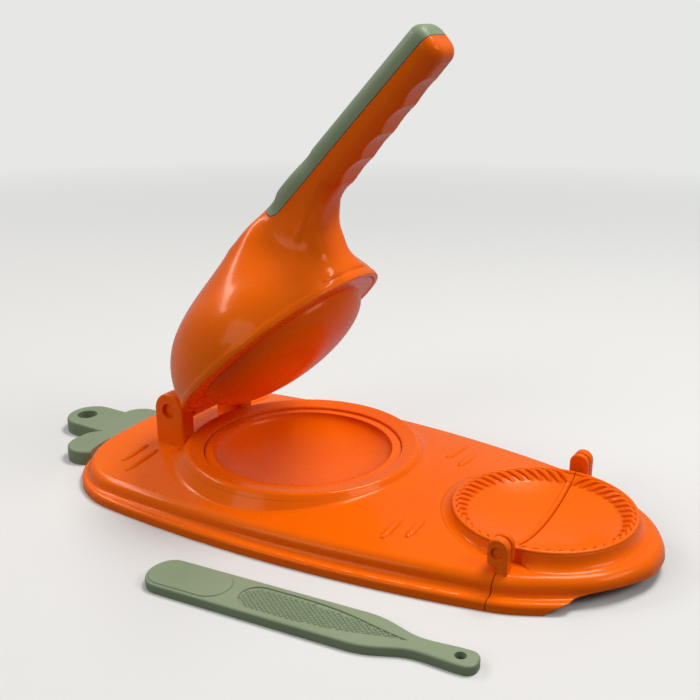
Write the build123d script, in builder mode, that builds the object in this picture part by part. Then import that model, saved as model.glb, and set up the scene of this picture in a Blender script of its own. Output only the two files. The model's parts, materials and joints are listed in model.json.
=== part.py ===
from build123d import *
import os
from math import atan2, cos, degrees, radians, sin, sqrt

# Two-in-one empanada press, lever raised.  Millimetres.
# Origin: on the table, under the middle of the press well.  +X runs along the
# press to the tip of the folding mould half, +Z is up.

# ---------------------------------------------------------------- driving dimensions

# Casing, seen from above
back_x = 98.0              # flat back end, behind the middle of the well
belly_x = 15.0             # widest place, behind the middle of the well
belly_half = 69.7          # half the width there
side_radius = 586.0        # gentle curve of the long sides
back_round = 38.0          # rounded back corners
foot_corner = 1.8          # how much faster than its own width the foot's corners grow rounder
seam_x = 123.0             # where the folding half starts
nose_length = 50.0         # from the seam to the tip
nose_fullness = 0.16       # how much fuller the nose is than a parabola
seam_gap = 0.4             # between the two halves of the casing

# Casing, section
wall = 2.2                 # thickness of every moulded skin
crown_z = 17.0             # highest place of the crowned top
crown_x = 25.0             # where that is along the press
crown_long_radius = 2160.0
crown_cross_radius = 430.0
crown_round = 5.0          # top edge
foot_out = 5.0             # how far the foot flares past the wall
foot_height = 4.6
foot_round = 2.0           # outer top edge of the foot
foot_hollow = 2.0          # inside corner between foot and wall
end_wall = 2.0             # wall that closes each half at the seam

# Press well
well_radius = 47.5
well_edge_z = 18.6         # inner edge of the collar slope
ledge_z = 15.6             # ledge that carries the bed
ledge_width = 3.6
collar_crest_radius = 55.0
collar_crest_width = 1.5
collar_crest_z = 20.0
collar_foot_radius = 62.0
collar_foot_z = 11.6       # below the crown at the casing's sides
collar_skin = 1.5          # the casing is cut out this far past the crest
collar_round = 2.2         # outside of the collar's crest
collar_lip_round = 0.8     # inside edge of the collar
bed_clearance = 0.3        # bed flange inside the well
bed_flange = 1.8
bed_radius = 43.0          # dish of the bed
bed_depth = 11.9
bed_wall = 2.0

# Lever hinge
hinge_x = 60.3             # behind the middle of the well
hinge_z = 32.0
lug_inner = 18.9           # inner face of each lug
lug_outer = 27.6
lug_radius = 8.7
lug_round = 1.2
pin_radius = 3.8
pin_sink = 2.0             # pin end below the lug's face
pin_clearance = 0.05       # radial, in lugs and barrel
barrel_radius = 7.5
barrel_side_gap = 0.6      # between barrel and lug
web_length = 12.0          # web that joins the barrel to the dome
lug_clearance = 0.6        # round each lug, cut from the dome

# Lever, in its own frame: s along it from the hinge, off square to it
open_angle = 42.8          # above the closed position
rim_off = -7.5             # plane of the dome's rim
dome_radius = 55.5
dome_height = 43.8
dome_shoulder = 38.2       # radius of the dome's flank in section; its crown is flatter
rim_band = 3.0
rim_step = 0.45            # the dome starts this far inside the band
plate_radius = 44.0
plate_depth = 17.0
plate_flange = 2.0
plate_clearance = 0.3      # plate flange inside the dome
plate_inset = 0.2          # flange inside the dome's rim
ledge_ring = 2.4           # ledge inside the dome that backs the flange

# Handle
handle_end = 213.0
handle_end_round = 5.0
grip_start = 140.0         # from here on the handle has its plain section
grip_half = 10.5           # half the width of the grip
grip_corner = 7.0
handle_stations = (        # s, top, underside, half width, corner
    (42.0, 27.0, 2.0, 18.0, 12.0),
    (60.0, 36.2, 4.0, 24.0, 15.0),
    (80.0, 40.2, 4.0, 23.0, 13.0),
    (98.0, 43.1, 5.0, 18.6, 10.0),
    (110.0, 44.2, 12.0, 14.6, 8.5),
    (118.0, 44.8, 18.0, 12.4, 7.0),
    (127.0, 45.4, 23.2, 11.0, 7.0),
    (grip_start, 46.3, 25.7, grip_half, grip_corner),
)
grip_tip = (handle_end, 51.2, 33.2, grip_half - 0.3, grip_corner)
hollow_from = 3            # the handle's hollow starts at this station
hollow_inset = 1.0         # extra thickness of the handle's sides
scallop_pitch = 14.8
scallop_depth = 1.3
scallop_first = 10.4       # from the start of the grip
scallop_count = 4
neck_levels = (            # hollow curve from the grip down to the dome: off, front, half width, corner
    (-4.0, 113.5, 24.0, 14.0),
    (3.0, 115.6, 19.0, 12.0),
    (8.0, 116.8, 16.5, 10.0),
    (12.5, 118.3, 14.5, 8.5),
    (17.0, 120.4, 13.0, 7.5),
    (21.0, 124.0, 12.0, 7.0),
    (25.0, 130.0, 10.0, 6.5),
    (27.0, 133.0, 8.5, 6.0),
)
neck_back = 85.0           # inside the dome
inlay_start = 96.5
inlay_half = 9.0           # half the width of the inlay's low end
inlay_depth = 8.5          # how far the inlay reaches down the grip's sides
inlay_slope = 14.0         # length of the inlay's sloping low end
inlay_taper = 34.0         # from the low end to where the inlay has the grip's full width
inlay_wall = 4.0           # side walls of the hollow inlay
inlay_sink = 1.0           # the hollow runs out of the inlay's underside
inlay_spill = 3.0          # the inlay's region runs this far past the grip's skin
inlay_swell = 0.6          # how much wider the inlay grows before it flares
inlay_curve = ((0.0, 3.0), (1.2, -0.3), (6.0, -3.7))      # its low end's edge: along, and above the grip's top

# Mould
mould_lip_z = 19.2
mould_lip_outer = 39.0
mould_lip_inner = 37.2
mould_slope_z = 18.2       # top of the toothed slope
bowl_radius = 32.5
bowl_edge_z = 15.2
bowl_bottom_z = 9.0
tooth_count = 24           # in each half
tooth_height = 1.3
tooth_width = 1.5
tooth_lean = 7.0           # degrees between a tooth's middle and each end
tooth_bow = 0.32           # share of the lean at the tooth's middle, which bends it
tooth_overlap = 0.6        # past the foot of the toothed slope
tooth_sink = 0.3           # into the wall under the lip
seam_bead = 1.1            # radius of the rounded bead beside the seam
lip_round = 0.8            # rounded rim of the mould
mould_lean = 0.8           # the mould's wall leans out to its foot

# Mould hinge
fold_z = 20.2              # hinge axis of the folding half
ear_half = 4.3
ear_centre_z = 22.0
inner_ear = 41.1           # base ear, inner face
ear_thickness = 3.0
ear_gap = 1.0
outer_ear_thickness = 4.1
ear_swing = 6.1            # radius about the axis that an ear may fill
ear_clearance = 0.4
ear_round = 0.8
dimple_radius = 2.6
dimple_depth = 1.0
fold_pin_radius = 2.0
pin_inset = 0.2            # pin end inside the base ear's inner face

# Finger gap under the tip
gap_start = 20.0           # from the seam
gap_height = 6.7
gap_ramp = 17.0

# Ribs on the top
rib_width = 2.9            # its underside stays inside the wall
rib_height = 0.85
rib_places = (             # x, and the y of both ends
    (-71.0, 33.4, 48.7),
    (-71.0, -48.7, -33.4),
    (-62.5, 35.4, 55.2),
    (-62.5, -55.2, -35.4),
    (63.6, 28.8, 48.4),
    (72.4, 23.4, 38.9),
    (73.5, -50.2, -35.7),
    (82.1, -44.8, -32.4),
)

# Leaf-shaped tab
leaf_height = 7.5
leaf_round = 1.5
leaf_front = ((-108.0, -35.3), (-108.0, -30.0), 11.2)     # ends of each lobe's middle line, and its radius
leaf_middle = ((-134.8, -7.7), (-108.0, -7.7), 13.0)
leaf_rear = ((-111.0, 4.5), (-108.0, 4.5), 11.5)
leaf_hole = (-136.8, -8.9, 5.3)
tongue_length = 22.0       # into the casing
tongue_half = 15.0
tongue_thickness = 3.0
tongue_clearance = 0.2
screw_radius = 1.5
screw_length = 9.0
screw_head_radius = 2.8
screw_head = 1.8
screw_spacing = 18.0
screw_inset = 12.0         # in from the flat back end
boss_radius = 4.2
boss_top = 13.0            # inside the casing's top

# Spatula, lying on the table; its own sizes run from its broad end
spatula_x = -2.5           # middle of the broad end's edge
spatula_y = -105.9
spatula_turn = 5.5         # degrees from +X
spatula_length = 139.5
spatula_half = 10.4
spatula_blade = 92.0       # where the blade starts to narrow
spatula_neck = 115.0       # where it is narrowest
spatula_neck_half = 4.6
spatula_tail_half = 5.2
spatula_thickness = 4.0
spatula_round = 1.0
plateau_end = 37.5         # round end of the raised blade face
plateau_height = 0.5
plateau_inset = 1.2        # in from the blade's outline
plateau_round = 0.35
panel_start = 42.5         # sunk grip panel
panel_end = 113.0
panel_half = 7.6
panel_depth = 0.6
spatula_bow = 8.9          # length of the rounded broad end
spatula_tail_round = 4.2
spatula_hole_in = 6.8      # hanging hole, in from the tail
spatula_hole = 2.2

# ---------------------------------------------------------------- worked out from them

seam_half = belly_half - side_radius + sqrt(side_radius**2 - (seam_x + belly_x) ** 2)
margin = 40.0              # how far cutting blocks run past the casing
clear_z = collar_crest_z + margin
root_z = crown_z - 6       # lugs, ears and walls start this high, inside the casing
ear_root_z = root_z - wall
lug_x = -hinge_x
barrel_half = lug_inner - barrel_side_gap
pin_half = lug_outer - pin_sink
handle_angle = radians(open_angle)
outer_ear = inner_ear + ear_thickness + ear_gap
outer_ear_end = outer_ear + outer_ear_thickness

# Lever frames: side_plane draws (s, off), plan_plane draws (s, y)
hinge_point = (-hinge_x, 0, hinge_z)
along = (cos(handle_angle), 0, sin(handle_angle))
side_plane = Plane(origin=hinge_point, x_dir=along, z_dir=(0, -1, 0))
plan_plane = Plane(origin=hinge_point, x_dir=along, z_dir=(-sin(handle_angle), 0, cos(handle_angle)))
dome_axis_s = hinge_x      # the dome closes onto the middle of the well


def lever_section(s):
    """Plane square to the lever at s: local x is +Y, local y is up off the lever."""
    return Plane(origin=plan_plane.from_local_coords((s, 0, 0)), x_dir=(0, 1, 0), z_dir=Vector(along))


# ---------------------------------------------------------------- casing


def nose_half(t):
    """Half width of the nose at t, 0 at the seam and 1 at the tip."""
    return seam_half * sqrt(1 - t) * (1 + nose_fullness * t)


def nose_point(t, grow):
    """Point of the nose's edge, moved out square to the edge by grow."""
    step = 0.001
    slope = (nose_half(t + step) - nose_half(t - step)) / (2 * step * nose_length)
    size = sqrt(1 + slope**2)
    return (seam_x + t * nose_length - grow * slope / size, nose_half(t) + grow / size)


nose_places = (0.35, 0.62, 0.82, 0.95)     # where the nose's curve is worked out


def casing_outline(grow=0.0):
    """Outline of both halves together, seen from above and grown by grow."""
    radius = side_radius + grow
    centre_y = belly_half - side_radius
    back = -back_x - grow

    def side_point(x):
        return (x, centre_y + sqrt(radius**2 - (x + belly_x) ** 2))

    seam = side_point(seam_x)
    slope = -(seam_x + belly_x) / (seam[1] - centre_y)
    with BuildSketch() as outline:
        with BuildLine():
            Line((back, 0), side_point(back))
            ThreePointArc(side_point(back), side_point(0), seam)
            Spline(
                seam,
                *[nose_point(t, grow) for t in nose_places],
                (seam_x + nose_length + grow, 0),
                tangents=[(1, slope), (0, -1)],
            )
            mirror(about=Plane.XZ)
        make_face()
        corner = back_round + grow * (foot_corner if grow > 0 else 1)
        fillet(outline.vertices().group_by(Axis.X)[0], corner)
    return outline.sketch


def crown_block(drop=0.0):
    """Block under the doubly curved top of the casing, lowered by drop."""
    top = crown_z - drop

    def top_point(x):
        return (x, top - (x - crown_x) ** 2 / (2 * crown_long_radius))

    back, front = -back_x - margin, seam_x + nose_length + margin
    with BuildPart() as block:
        with BuildSketch(Plane.XZ):
            with BuildLine():
                ThreePointArc(top_point(back), top_point(crown_x), top_point(front))
                Polyline(top_point(front), (front, -margin), (back, -margin), top_point(back))
            make_face()
        revolve(axis=Axis((0, 0, crown_z - crown_cross_radius), (1, 0, 0)), revolution_arc=360)
    return block.part


outer_crown = crown_block()
inner_crown = crown_block(wall)
outer_outline = casing_outline()
inner_outline = casing_outline(-wall)
foot_outline = casing_outline(foot_out)

with BuildPart() as casing_outer:
    add(outer_outline)
    extrude(amount=crown_z + margin)
    add(outer_crown, mode=Mode.INTERSECT)
    fillet(casing_outer.faces().sort_by(Axis.Z)[-1].edges(), crown_round)
    add(foot_outline)
    extrude(amount=foot_height)

    foot_top = casing_outer.faces().filter_by(Plane.XY).sort_by(Axis.Z)[-1]
    fillet(foot_top.outer_wire().edges(), foot_round)
    foot_top = casing_outer.faces().filter_by(Plane.XY).sort_by(Axis.Z)[-1]
    fillet(foot_top.inner_wires()[0].edges(), foot_hollow)

with BuildPart() as casing_inner:
    with BuildSketch(Plane.XY.offset(-margin)):
        add(inner_outline)
    extrude(amount=crown_z + 2 * margin)
    add(inner_crown, mode=Mode.INTERSECT)


def block(x0, x1, y0, y1, z0, z1):
    """Solid box between two corners."""
    with BuildPart() as box:
        with Locations(((x0 + x1) / 2, (y0 + y1) / 2, (z0 + z1) / 2)):
            Box(x1 - x0, y1 - y0, z1 - z0)
    return box.part


far = 300.0
base_side = block(-far, seam_x - seam_gap / 2, -far, far, -far, far)
flap_side = block(seam_x + seam_gap / 2, far, -far, far, -far, far)
base_inside = block(-far, seam_x - seam_gap / 2 - end_wall, -far, far, -far, far)
flap_inside = block(seam_x + seam_gap / 2 + end_wall, far, -far, far, -far, far)


def casing_half(side, inside):
    """The part of the hollow casing on one side of the seam, with its end wall."""
    with BuildPart() as hollow:
        add(casing_inner.part)
        add(inside, mode=Mode.INTERSECT)
    with BuildPart() as half:
        add(casing_outer.part)
        add(side, mode=Mode.INTERSECT)
        add(hollow.part, mode=Mode.SUBTRACT)
    return half.part


# ---------------------------------------------------------------- press well

crest_out = collar_crest_radius + collar_crest_width / 2
crest_in = collar_crest_radius - collar_crest_width / 2
bed_opening = well_radius - ledge_width
collar_bottom_in = crest_out + collar_skin

with BuildPart() as collar:
    with BuildSketch(Plane.XZ):
        with BuildLine():
            Polyline(
                (bed_opening, ledge_z - wall),
                (bed_opening, ledge_z),
                (well_radius, ledge_z),
                (well_radius, well_edge_z),
                (crest_in, collar_crest_z),
                (crest_out, collar_crest_z),
                (collar_foot_radius, collar_foot_z),
                (collar_bottom_in, collar_foot_z),
                (crest_in, collar_crest_z - wall),
                (well_radius + wall, well_edge_z - wall),
                (well_radius + wall, ledge_z - wall),
                close=True,
            )
        make_face()
    revolve(axis=Axis.Z, revolution_arc=360)
    crest = collar.edges().filter_by(GeomType.CIRCLE).group_by(Axis.Z)[-1]
    fillet(crest.sort_by(SortBy.RADIUS)[-1], collar_round)
    lip = collar.edges().filter_by(GeomType.CIRCLE).filter_by(lambda e: abs(e.radius - well_radius) < 0.01)
    fillet(lip.sort_by(Axis.Z)[-1], collar_lip_round)

# ---------------------------------------------------------------- mould

bowl_sag = bowl_edge_z - bowl_bottom_z
bowl_sphere = (bowl_radius**2 + bowl_sag**2) / (2 * bowl_sag)
bowl_half = bowl_radius / 2
mould_frame = Plane(origin=(seam_x, 0, 0), x_dir=(1, 0, 0), z_dir=(0, -1, 0))
mould_axis = Axis((seam_x, 0, 0), (0, 0, 1))
mould_wall_in = mould_lip_outer - wall


def bowl_height(r):
    """Height of the bowl's face at radius r."""
    return bowl_bottom_z + bowl_sphere - sqrt(bowl_sphere**2 - r**2)


with BuildPart() as mould:
    with BuildSketch(mould_frame) as section:
        with BuildLine():
            ThreePointArc((0, bowl_bottom_z), (bowl_half, bowl_height(bowl_half)), (bowl_radius, bowl_edge_z))
            Polyline(
                (bowl_radius, bowl_edge_z),
                (mould_lip_inner, mould_slope_z),
                (mould_lip_inner, mould_lip_z),
                (mould_lip_outer, mould_lip_z),
                (mould_lip_outer + mould_lean, ear_root_z),
                (mould_wall_in, ear_root_z),
                (mould_wall_in, bowl_edge_z),
                (bowl_radius, bowl_edge_z - wall),
            )
            ThreePointArc(
                (bowl_radius, bowl_edge_z - wall),
                (bowl_half, bowl_height(bowl_half) - wall),
                (0, bowl_bottom_z - wall),
            )
            Line((0, bowl_bottom_z - wall), (0, bowl_bottom_z))
        make_face()
        fillet(section.vertices().sort_by(Axis.Y)[-2:], lip_round)
    revolve(axis=mould_axis, revolution_arc=360)

with BuildPart() as mould_void:
    with BuildSketch(mould_frame):
        with BuildLine():
            ThreePointArc((0, bowl_bottom_z), (bowl_half, bowl_height(bowl_half)), (bowl_radius, bowl_edge_z))
            Polyline(
                (bowl_radius, bowl_edge_z),
                (mould_lip_inner, mould_slope_z),
                (mould_lip_inner, clear_z),
                (0, clear_z),
                (0, bowl_bottom_z),
            )
        make_face()
    revolve(axis=mould_axis, revolution_arc=360)

# Teeth: curved bars that lean, kept to a thin band over the toothed slope
tooth_in = bowl_radius - tooth_overlap
tooth_out = mould_lip_inner + tooth_sink
band_low = bowl_edge_z - wall / 2
with BuildPart() as tooth_band:
    with BuildSketch(mould_frame):
        with BuildLine():
            Polyline(
                (tooth_in, band_low),
                (tooth_in, bowl_height(tooth_in)),
                (bowl_radius + tooth_overlap, bowl_edge_z + tooth_height),
                (mould_lip_inner - tooth_height, mould_slope_z + tooth_height / 2),
                (tooth_out, mould_slope_z + tooth_height / 3),
                (tooth_out, band_low),
                close=True,
            )
        make_face()
    revolve(axis=mould_axis, revolution_arc=360)
tooth_pitch = 180 / tooth_count


def tooth_bar(turn, mirrored):
    """Sketch of one leaning tooth at turn degrees round the mould, seen from above."""
    lean = -tooth_lean if mirrored else tooth_lean

    def at(radius, degrees):
        angle = radians(turn + degrees)
        return (seam_x + radius * cos(angle), radius * sin(angle))

    middle = (tooth_in + tooth_out) / 2
    with BuildSketch() as bar:
        with BuildLine():
            ThreePointArc(at(tooth_in, -lean), at(middle, -tooth_bow * lean), at(tooth_out, lean))
        trace(line_width=tooth_width)
    return bar.sketch


def teeth(first_angle, mirrored):
    """Row of teeth round one half of the mould."""
    with BuildPart() as row:
        with BuildSketch(Plane.XY.offset(band_low)):
            for index in range(1, tooth_count):
                add(tooth_bar(first_angle + index * tooth_pitch, mirrored))
        extrude(amount=mould_lip_z - band_low)
        add(tooth_band.part, mode=Mode.INTERSECT)
    return row.part


# ---------------------------------------------------------------- mould hinge


def ear_shape(own_side, y0, y1):
    """Round-topped ear between y0 and y1; past its own side it stays near the axis."""
    with BuildPart() as swing:
        with BuildSketch(Plane.XZ.offset(-y0)):
            with Locations((seam_x, fold_z)):
                Circle(ear_swing)
        extrude(amount=-(y1 - y0))
        add(own_side)
    with BuildPart() as ear:
        with BuildSketch(Plane.XZ.offset(-y0)):
            with Locations((seam_x, ear_centre_z)):
                Circle(ear_half)
            with Locations((seam_x, (ear_centre_z + ear_root_z) / 2)):
                Rectangle(2 * ear_half, ear_centre_z - ear_root_z)
        extrude(amount=-(y1 - y0))
        side_faces = ear.faces().filter_by(Axis.Y).sort_by(Axis.Y)
        fillet(side_faces[0].edges() + side_faces[-1].edges(), ear_round)
        add(swing.part, mode=Mode.INTERSECT)
    return ear.part


def along_y(radius, x, z, y0, y1):
    """Cylinder about an axis along Y through (x, z), from y0 to y1."""
    with BuildPart() as cylinder:
        with BuildSketch(Plane.XZ.offset(-y0)):
            with Locations((x, z)):
                Circle(radius)
        extrude(amount=-(y1 - y0))
    return cylinder.part


# ---------------------------------------------------------------- base


def lug(side):
    """Upright lug that carries one end of the lever's pin; side is -1 or 1."""
    y0, y1 = sorted((side * lug_inner, side * lug_outer))
    with BuildPart() as body:
        with BuildSketch(Plane.XZ.offset(-y0)):
            with Locations((lug_x, hinge_z)):
                Circle(lug_radius)
            with Locations((lug_x, (hinge_z + root_z) / 2)):
                Rectangle(2 * lug_radius, hinge_z - root_z)
        extrude(amount=-(y1 - y0))
        side_faces = body.faces().filter_by(Axis.Y).sort_by(Axis.Y)
        fillet(side_faces[0].edges() + side_faces[-1].edges(), lug_round)
        with BuildSketch(Plane.XZ.offset(-y0)):
            with Locations((lug_x, hinge_z)):
                Circle(pin_radius + pin_clearance)
        extrude(amount=-(y1 - y0), mode=Mode.SUBTRACT)
    return body.part


def mould_half(side, first_angle, mirrored):
    """One half of the mould: lip, toothed slope and bowl."""
    with BuildPart() as half:
        add(mould.part)
        add(teeth(first_angle, mirrored))
        add(side, mode=Mode.INTERSECT)
    return half.part


def rib(x, y0, y1):
    """Low rounded rib across the top of the casing, from y0 to y1."""
    top = crown_z - (x - crown_x) ** 2 / (2 * crown_long_radius)

    def height(y):
        return top - y**2 / (2 * crown_cross_radius) + rib_height - rib_width / 2

    with BuildPart() as bar:
        with BuildLine() as path:
            Line((x, y0, height(y0)), (x, y1, height(y1)))
        with BuildSketch(Plane(origin=path.line @ 0, z_dir=path.line % 0)):
            Circle(rib_width / 2)
        sweep()
        with Locations((x, y0, height(y0)), (x, y1, height(y1))):
            Sphere(rib_width / 2)
    return bar.part


# Leaf-shaped tab at the back, with a tongue held under the casing by two screws
screw_x = -back_x + screw_inset
screw_places = [(screw_x, -screw_spacing / 2), (screw_x, screw_spacing / 2)]
tongue_x = -back_x + tongue_length
leaf_x = leaf_rear[0][0]

bead_x = seam_x - seam_gap / 2 - seam_bead
base_half = casing_half(base_side, base_inside)
base_mould = mould_half(base_side, 90, False)
with BuildPart() as base_shell:
    add(base_half)
    with Locations((0, 0, 0)):
        Cylinder(collar_bottom_in, 2 * clear_z, mode=Mode.SUBTRACT)
    add(collar.part)
    add(lug(-1))
    add(lug(1))
    for place in rib_places:
        add(rib(*place))
    # Mould half, with a rounded bead along the seam
    add(mould_void.part, mode=Mode.SUBTRACT)
    add(base_mould)
    with BuildLine() as bead_path:
        ThreePointArc(
            (bead_x, -bowl_radius, bowl_edge_z),
            (bead_x, 0, bowl_bottom_z),
            (bead_x, bowl_radius, bowl_edge_z),
        )
    with BuildSketch(Plane(origin=bead_path.line @ 0, z_dir=bead_path.line % 0)):
        Circle(seam_bead)
    sweep(path=bead_path.line)
    # Ears of the mould hinge, and room for the other half's ears
    for y0 in (inner_ear, -inner_ear - ear_thickness):
        add(ear_shape(base_side, y0, y0 + ear_thickness))
    for y0 in (outer_ear - ear_clearance, -outer_ear_end - ear_clearance):
        swing = along_y(ear_swing + ear_clearance, seam_x, fold_z, y0, y0 + outer_ear_thickness + 2 * ear_clearance)
        add(swing, mode=Mode.SUBTRACT)
    for y0 in (inner_ear - ear_gap / 2, -inner_ear - ear_thickness - ear_gap / 2):
        hole = along_y(fold_pin_radius + pin_clearance, seam_x, fold_z, y0, y0 + ear_thickness + ear_gap)
        add(hole, mode=Mode.SUBTRACT)
    # Screw bosses and the slot for the tongue
    with BuildSketch(Plane.XY.offset(tongue_thickness)):
        with Locations(*screw_places):
            Circle(boss_radius)
    extrude(amount=boss_top - tongue_thickness)
    with BuildSketch(Plane.XY.offset(tongue_thickness)):
        with Locations(*screw_places):
            Circle(screw_radius)
    extrude(amount=screw_length - tongue_thickness, mode=Mode.SUBTRACT)
    slot_half = tongue_half + tongue_clearance
    add(block(-far, tongue_x, -slot_half, slot_half, -far, tongue_thickness), mode=Mode.SUBTRACT)

base_shell.part.label = "base_shell"
export_step(base_shell.part, "parts/base_shell.step")

# ---------------------------------------------------------------- press bed

flange_radius = well_radius - bed_clearance
bed_under_radius = bed_opening - bed_clearance
bed_top = ledge_z + bed_flange
with BuildPart() as press_bed:
    with BuildSketch(Plane.XZ):
        with BuildLine():
            EllipticalCenterArc((0, bed_top), bed_radius, bed_depth, 270, arc_size=90)
            Line((bed_radius, bed_top), (flange_radius, bed_top))
            Line((flange_radius, bed_top), (flange_radius, ledge_z))
            Line((flange_radius, ledge_z), (bed_under_radius, ledge_z))
            EllipticalCenterArc((0, ledge_z), bed_under_radius, bed_depth + bed_wall - bed_flange, 270, arc_size=90)
            Line((0, bed_top - bed_depth), (0, bed_top - bed_depth - bed_wall))
        make_face()
    revolve(axis=Axis.Z, revolution_arc=360)

press_bed.part.label = "press_bed"
export_step(press_bed.part, "parts/press_bed.step")

# ---------------------------------------------------------------- folding mould half

flap_half = casing_half(flap_side, flap_inside)
flap_mould = mould_half(flap_side, -90, True)
gap_x = seam_x + gap_start
gap_end = seam_x + nose_length + margin
with BuildPart() as flap_shell:
    add(flap_half)
    add(mould_void.part, mode=Mode.SUBTRACT)
    add(flap_mould)
    for y0 in (inner_ear - ear_clearance, -inner_ear - ear_thickness - ear_clearance):
        swing = along_y(ear_swing + ear_clearance, seam_x, fold_z, y0, y0 + ear_thickness + 2 * ear_clearance)
        add(swing, mode=Mode.SUBTRACT)
    for y0 in (outer_ear, -outer_ear_end):
        add(ear_shape(flap_side, y0, y0 + outer_ear_thickness))
    # Finger gap under the tip
    with BuildSketch(Plane.XZ) as gap:
        with BuildLine():
            Spline(
                (gap_x, 0),
                (gap_x + 0.4 * gap_ramp, 0.62 * gap_height),
                (gap_x + gap_ramp, 0.93 * gap_height),
                (gap_end, gap_height),
            )
            Polyline((gap_end, gap_height), (gap_end, -margin), (gap_x, -margin), (gap_x, 0))
        make_face()
    extrude(amount=far, both=True, mode=Mode.SUBTRACT)
    # Pin holes, each with a dimple in the outer face
    for side in (-1, 1):
        y0, y1 = sorted((side * (outer_ear - ear_gap / 2), side * (outer_ear_end + ear_gap)))
        add(along_y(fold_pin_radius + pin_clearance, seam_x, fold_z, y0, y1), mode=Mode.SUBTRACT)
        y0, y1 = sorted((side * (outer_ear_end - dimple_depth), side * (outer_ear_end + ear_gap)))
        add(along_y(dimple_radius, seam_x, fold_z, y0, y1), mode=Mode.SUBTRACT)

flap_shell.part.label = "flap_shell"
export_step(flap_shell.part, "parts/flap_shell.step")

fold_pin_start = inner_ear + pin_inset
fold_pin_end = outer_ear_end - dimple_depth
for side, name in ((-1, "flap_pin_front"), (1, "flap_pin_rear")):
    y0, y1 = sorted((side * fold_pin_start, side * fold_pin_end))
    pin = along_y(fold_pin_radius, seam_x, fold_z, y0, y1)
    pin.label = name
    export_step(pin, f"parts/{name}.step")

# ---------------------------------------------------------------- lever

grip_root = handle_stations[-1]


def grip_line(s, index):
    """Height at s of the grip's top (index 1) or underside (index 2), straight from its root to its tip."""
    share = (s - grip_start) / (handle_end - grip_start)
    return grip_root[index] + share * (grip_tip[index] - grip_root[index])


def handle_outline(s, top, bottom, half, corner):
    """Section of the handle at s."""
    with BuildSketch(lever_section(s)) as outline:
        with Locations((0, (top + bottom) / 2)):
            RectangleRounded(2 * half, top - bottom, corner)
    return outline.sketch


with BuildPart() as handle:
    loft([handle_outline(*station) for station in handle_stations])
    loft([handle_outline(*grip_root), handle_outline(*grip_tip)], ruled=True)
    tip_face = handle.faces().sort_by(Axis(hinge_point, along))[-1]
    fillet(tip_face.edges(), handle_end_round)
    # Finger scallops along the underside
    scallop_radius = (scallop_pitch**2 / 4 + scallop_depth**2) / (2 * scallop_depth)
    with BuildSketch(side_plane.offset(-far)):
        for index in range(scallop_count):
            s = grip_start + scallop_first + index * scallop_pitch
            with Locations((s, grip_line(s, 2) + scallop_depth - scallop_radius)):
                Circle(scallop_radius)
    extrude(amount=2 * far, mode=Mode.SUBTRACT)

with BuildPart() as neck:
    for off, front, half, corner in neck_levels:
        with BuildSketch(plan_plane.offset(off)):
            with Locations(((neck_back + front) / 2, 0)):
                RectangleRounded(front - neck_back, 2 * half, corner)
    loft()


def split_height(s):
    """Height of the joint between handle and inlay."""
    return grip_line(s, 1) - inlay_depth


dome_frame = lever_section(dome_axis_s)
dome_axis = Axis(dome_frame.origin, plan_plane.z_dir)
dome_outer_radius = dome_radius - rim_step
dome_inner_radius = dome_outer_radius - wall
plate_top = rim_off + plate_inset + plate_flange


def dome_face(inset=0.0):
    """Half section of the dome, for turning about its axis, with its skin moved in by inset."""
    shoulder_s = dome_outer_radius - dome_shoulder
    excess = dome_outer_radius - dome_height - shoulder_s
    crown_drop = (shoulder_s**2 - excess**2) / (2 * -excess)
    split = degrees(atan2(crown_drop, shoulder_s))
    with BuildSketch() as section:
        with BuildLine():
            rim = CenterArc((shoulder_s, rim_off), dome_shoulder - inset, 0, split)
            top = CenterArc((0, rim_off - crown_drop), dome_height + crown_drop - inset, split, 90 - split)
            Polyline(top @ 1, (0, rim_off), rim @ 0)
        make_face()
    return section.sketch


# Region of the handle that the inlay fills: its side view, then its shape from above
inlay_bottom_s = inlay_start + inlay_slope
inlay_full_s = inlay_start + inlay_taper
inlay_wide = grip_half + inlay_spill
inlay_root_off = handle_stations[hollow_from][1]
inlay_top = handle_stations[-1][1] + margin
with BuildPart() as inlay_zone:
    with BuildSketch(side_plane.offset(-far)):
        with BuildLine():
            Spline(
                *[(inlay_start + s, inlay_root_off + off) for s, off in inlay_curve],
                (inlay_bottom_s, split_height(inlay_bottom_s)),
            )
            Polyline(
                (inlay_bottom_s, split_height(inlay_bottom_s)),
                (handle_end + margin, split_height(handle_end + margin)),
                (handle_end + margin, inlay_top),
                (inlay_start, inlay_top),
                (inlay_start, inlay_root_off + inlay_curve[0][1]),
            )
        make_face()
    extrude(amount=2 * far)
    with BuildSketch(plan_plane):
        with BuildLine():
            ThreePointArc(
                (inlay_start + inlay_half, -inlay_half),
                (inlay_start, 0),
                (inlay_start + inlay_half, inlay_half),
            )
            Spline(
                (inlay_start + inlay_half, inlay_half),
                (inlay_start + 2 * inlay_half, inlay_half + inlay_swell),
                (inlay_full_s, inlay_wide),
                tangents=[(1, 0), (1, 0.1)],
            )
            Polyline(
                (inlay_full_s, inlay_wide),
                (handle_end + margin, inlay_wide),
                (handle_end + margin, -inlay_wide),
                (inlay_full_s, -inlay_wide),
            )
            Spline(
                (inlay_full_s, -inlay_wide),
                (inlay_start + 2 * inlay_half, -inlay_half - inlay_swell),
                (inlay_start + inlay_half, -inlay_half),
                tangents=[(-1, 0.1), (-1, 0)],
            )
        make_face()
    extrude(amount=inlay_top, mode=Mode.INTERSECT)

with BuildPart() as inlay_block:
    add(handle.part)
    add(inlay_zone.part, mode=Mode.INTERSECT)

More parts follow.
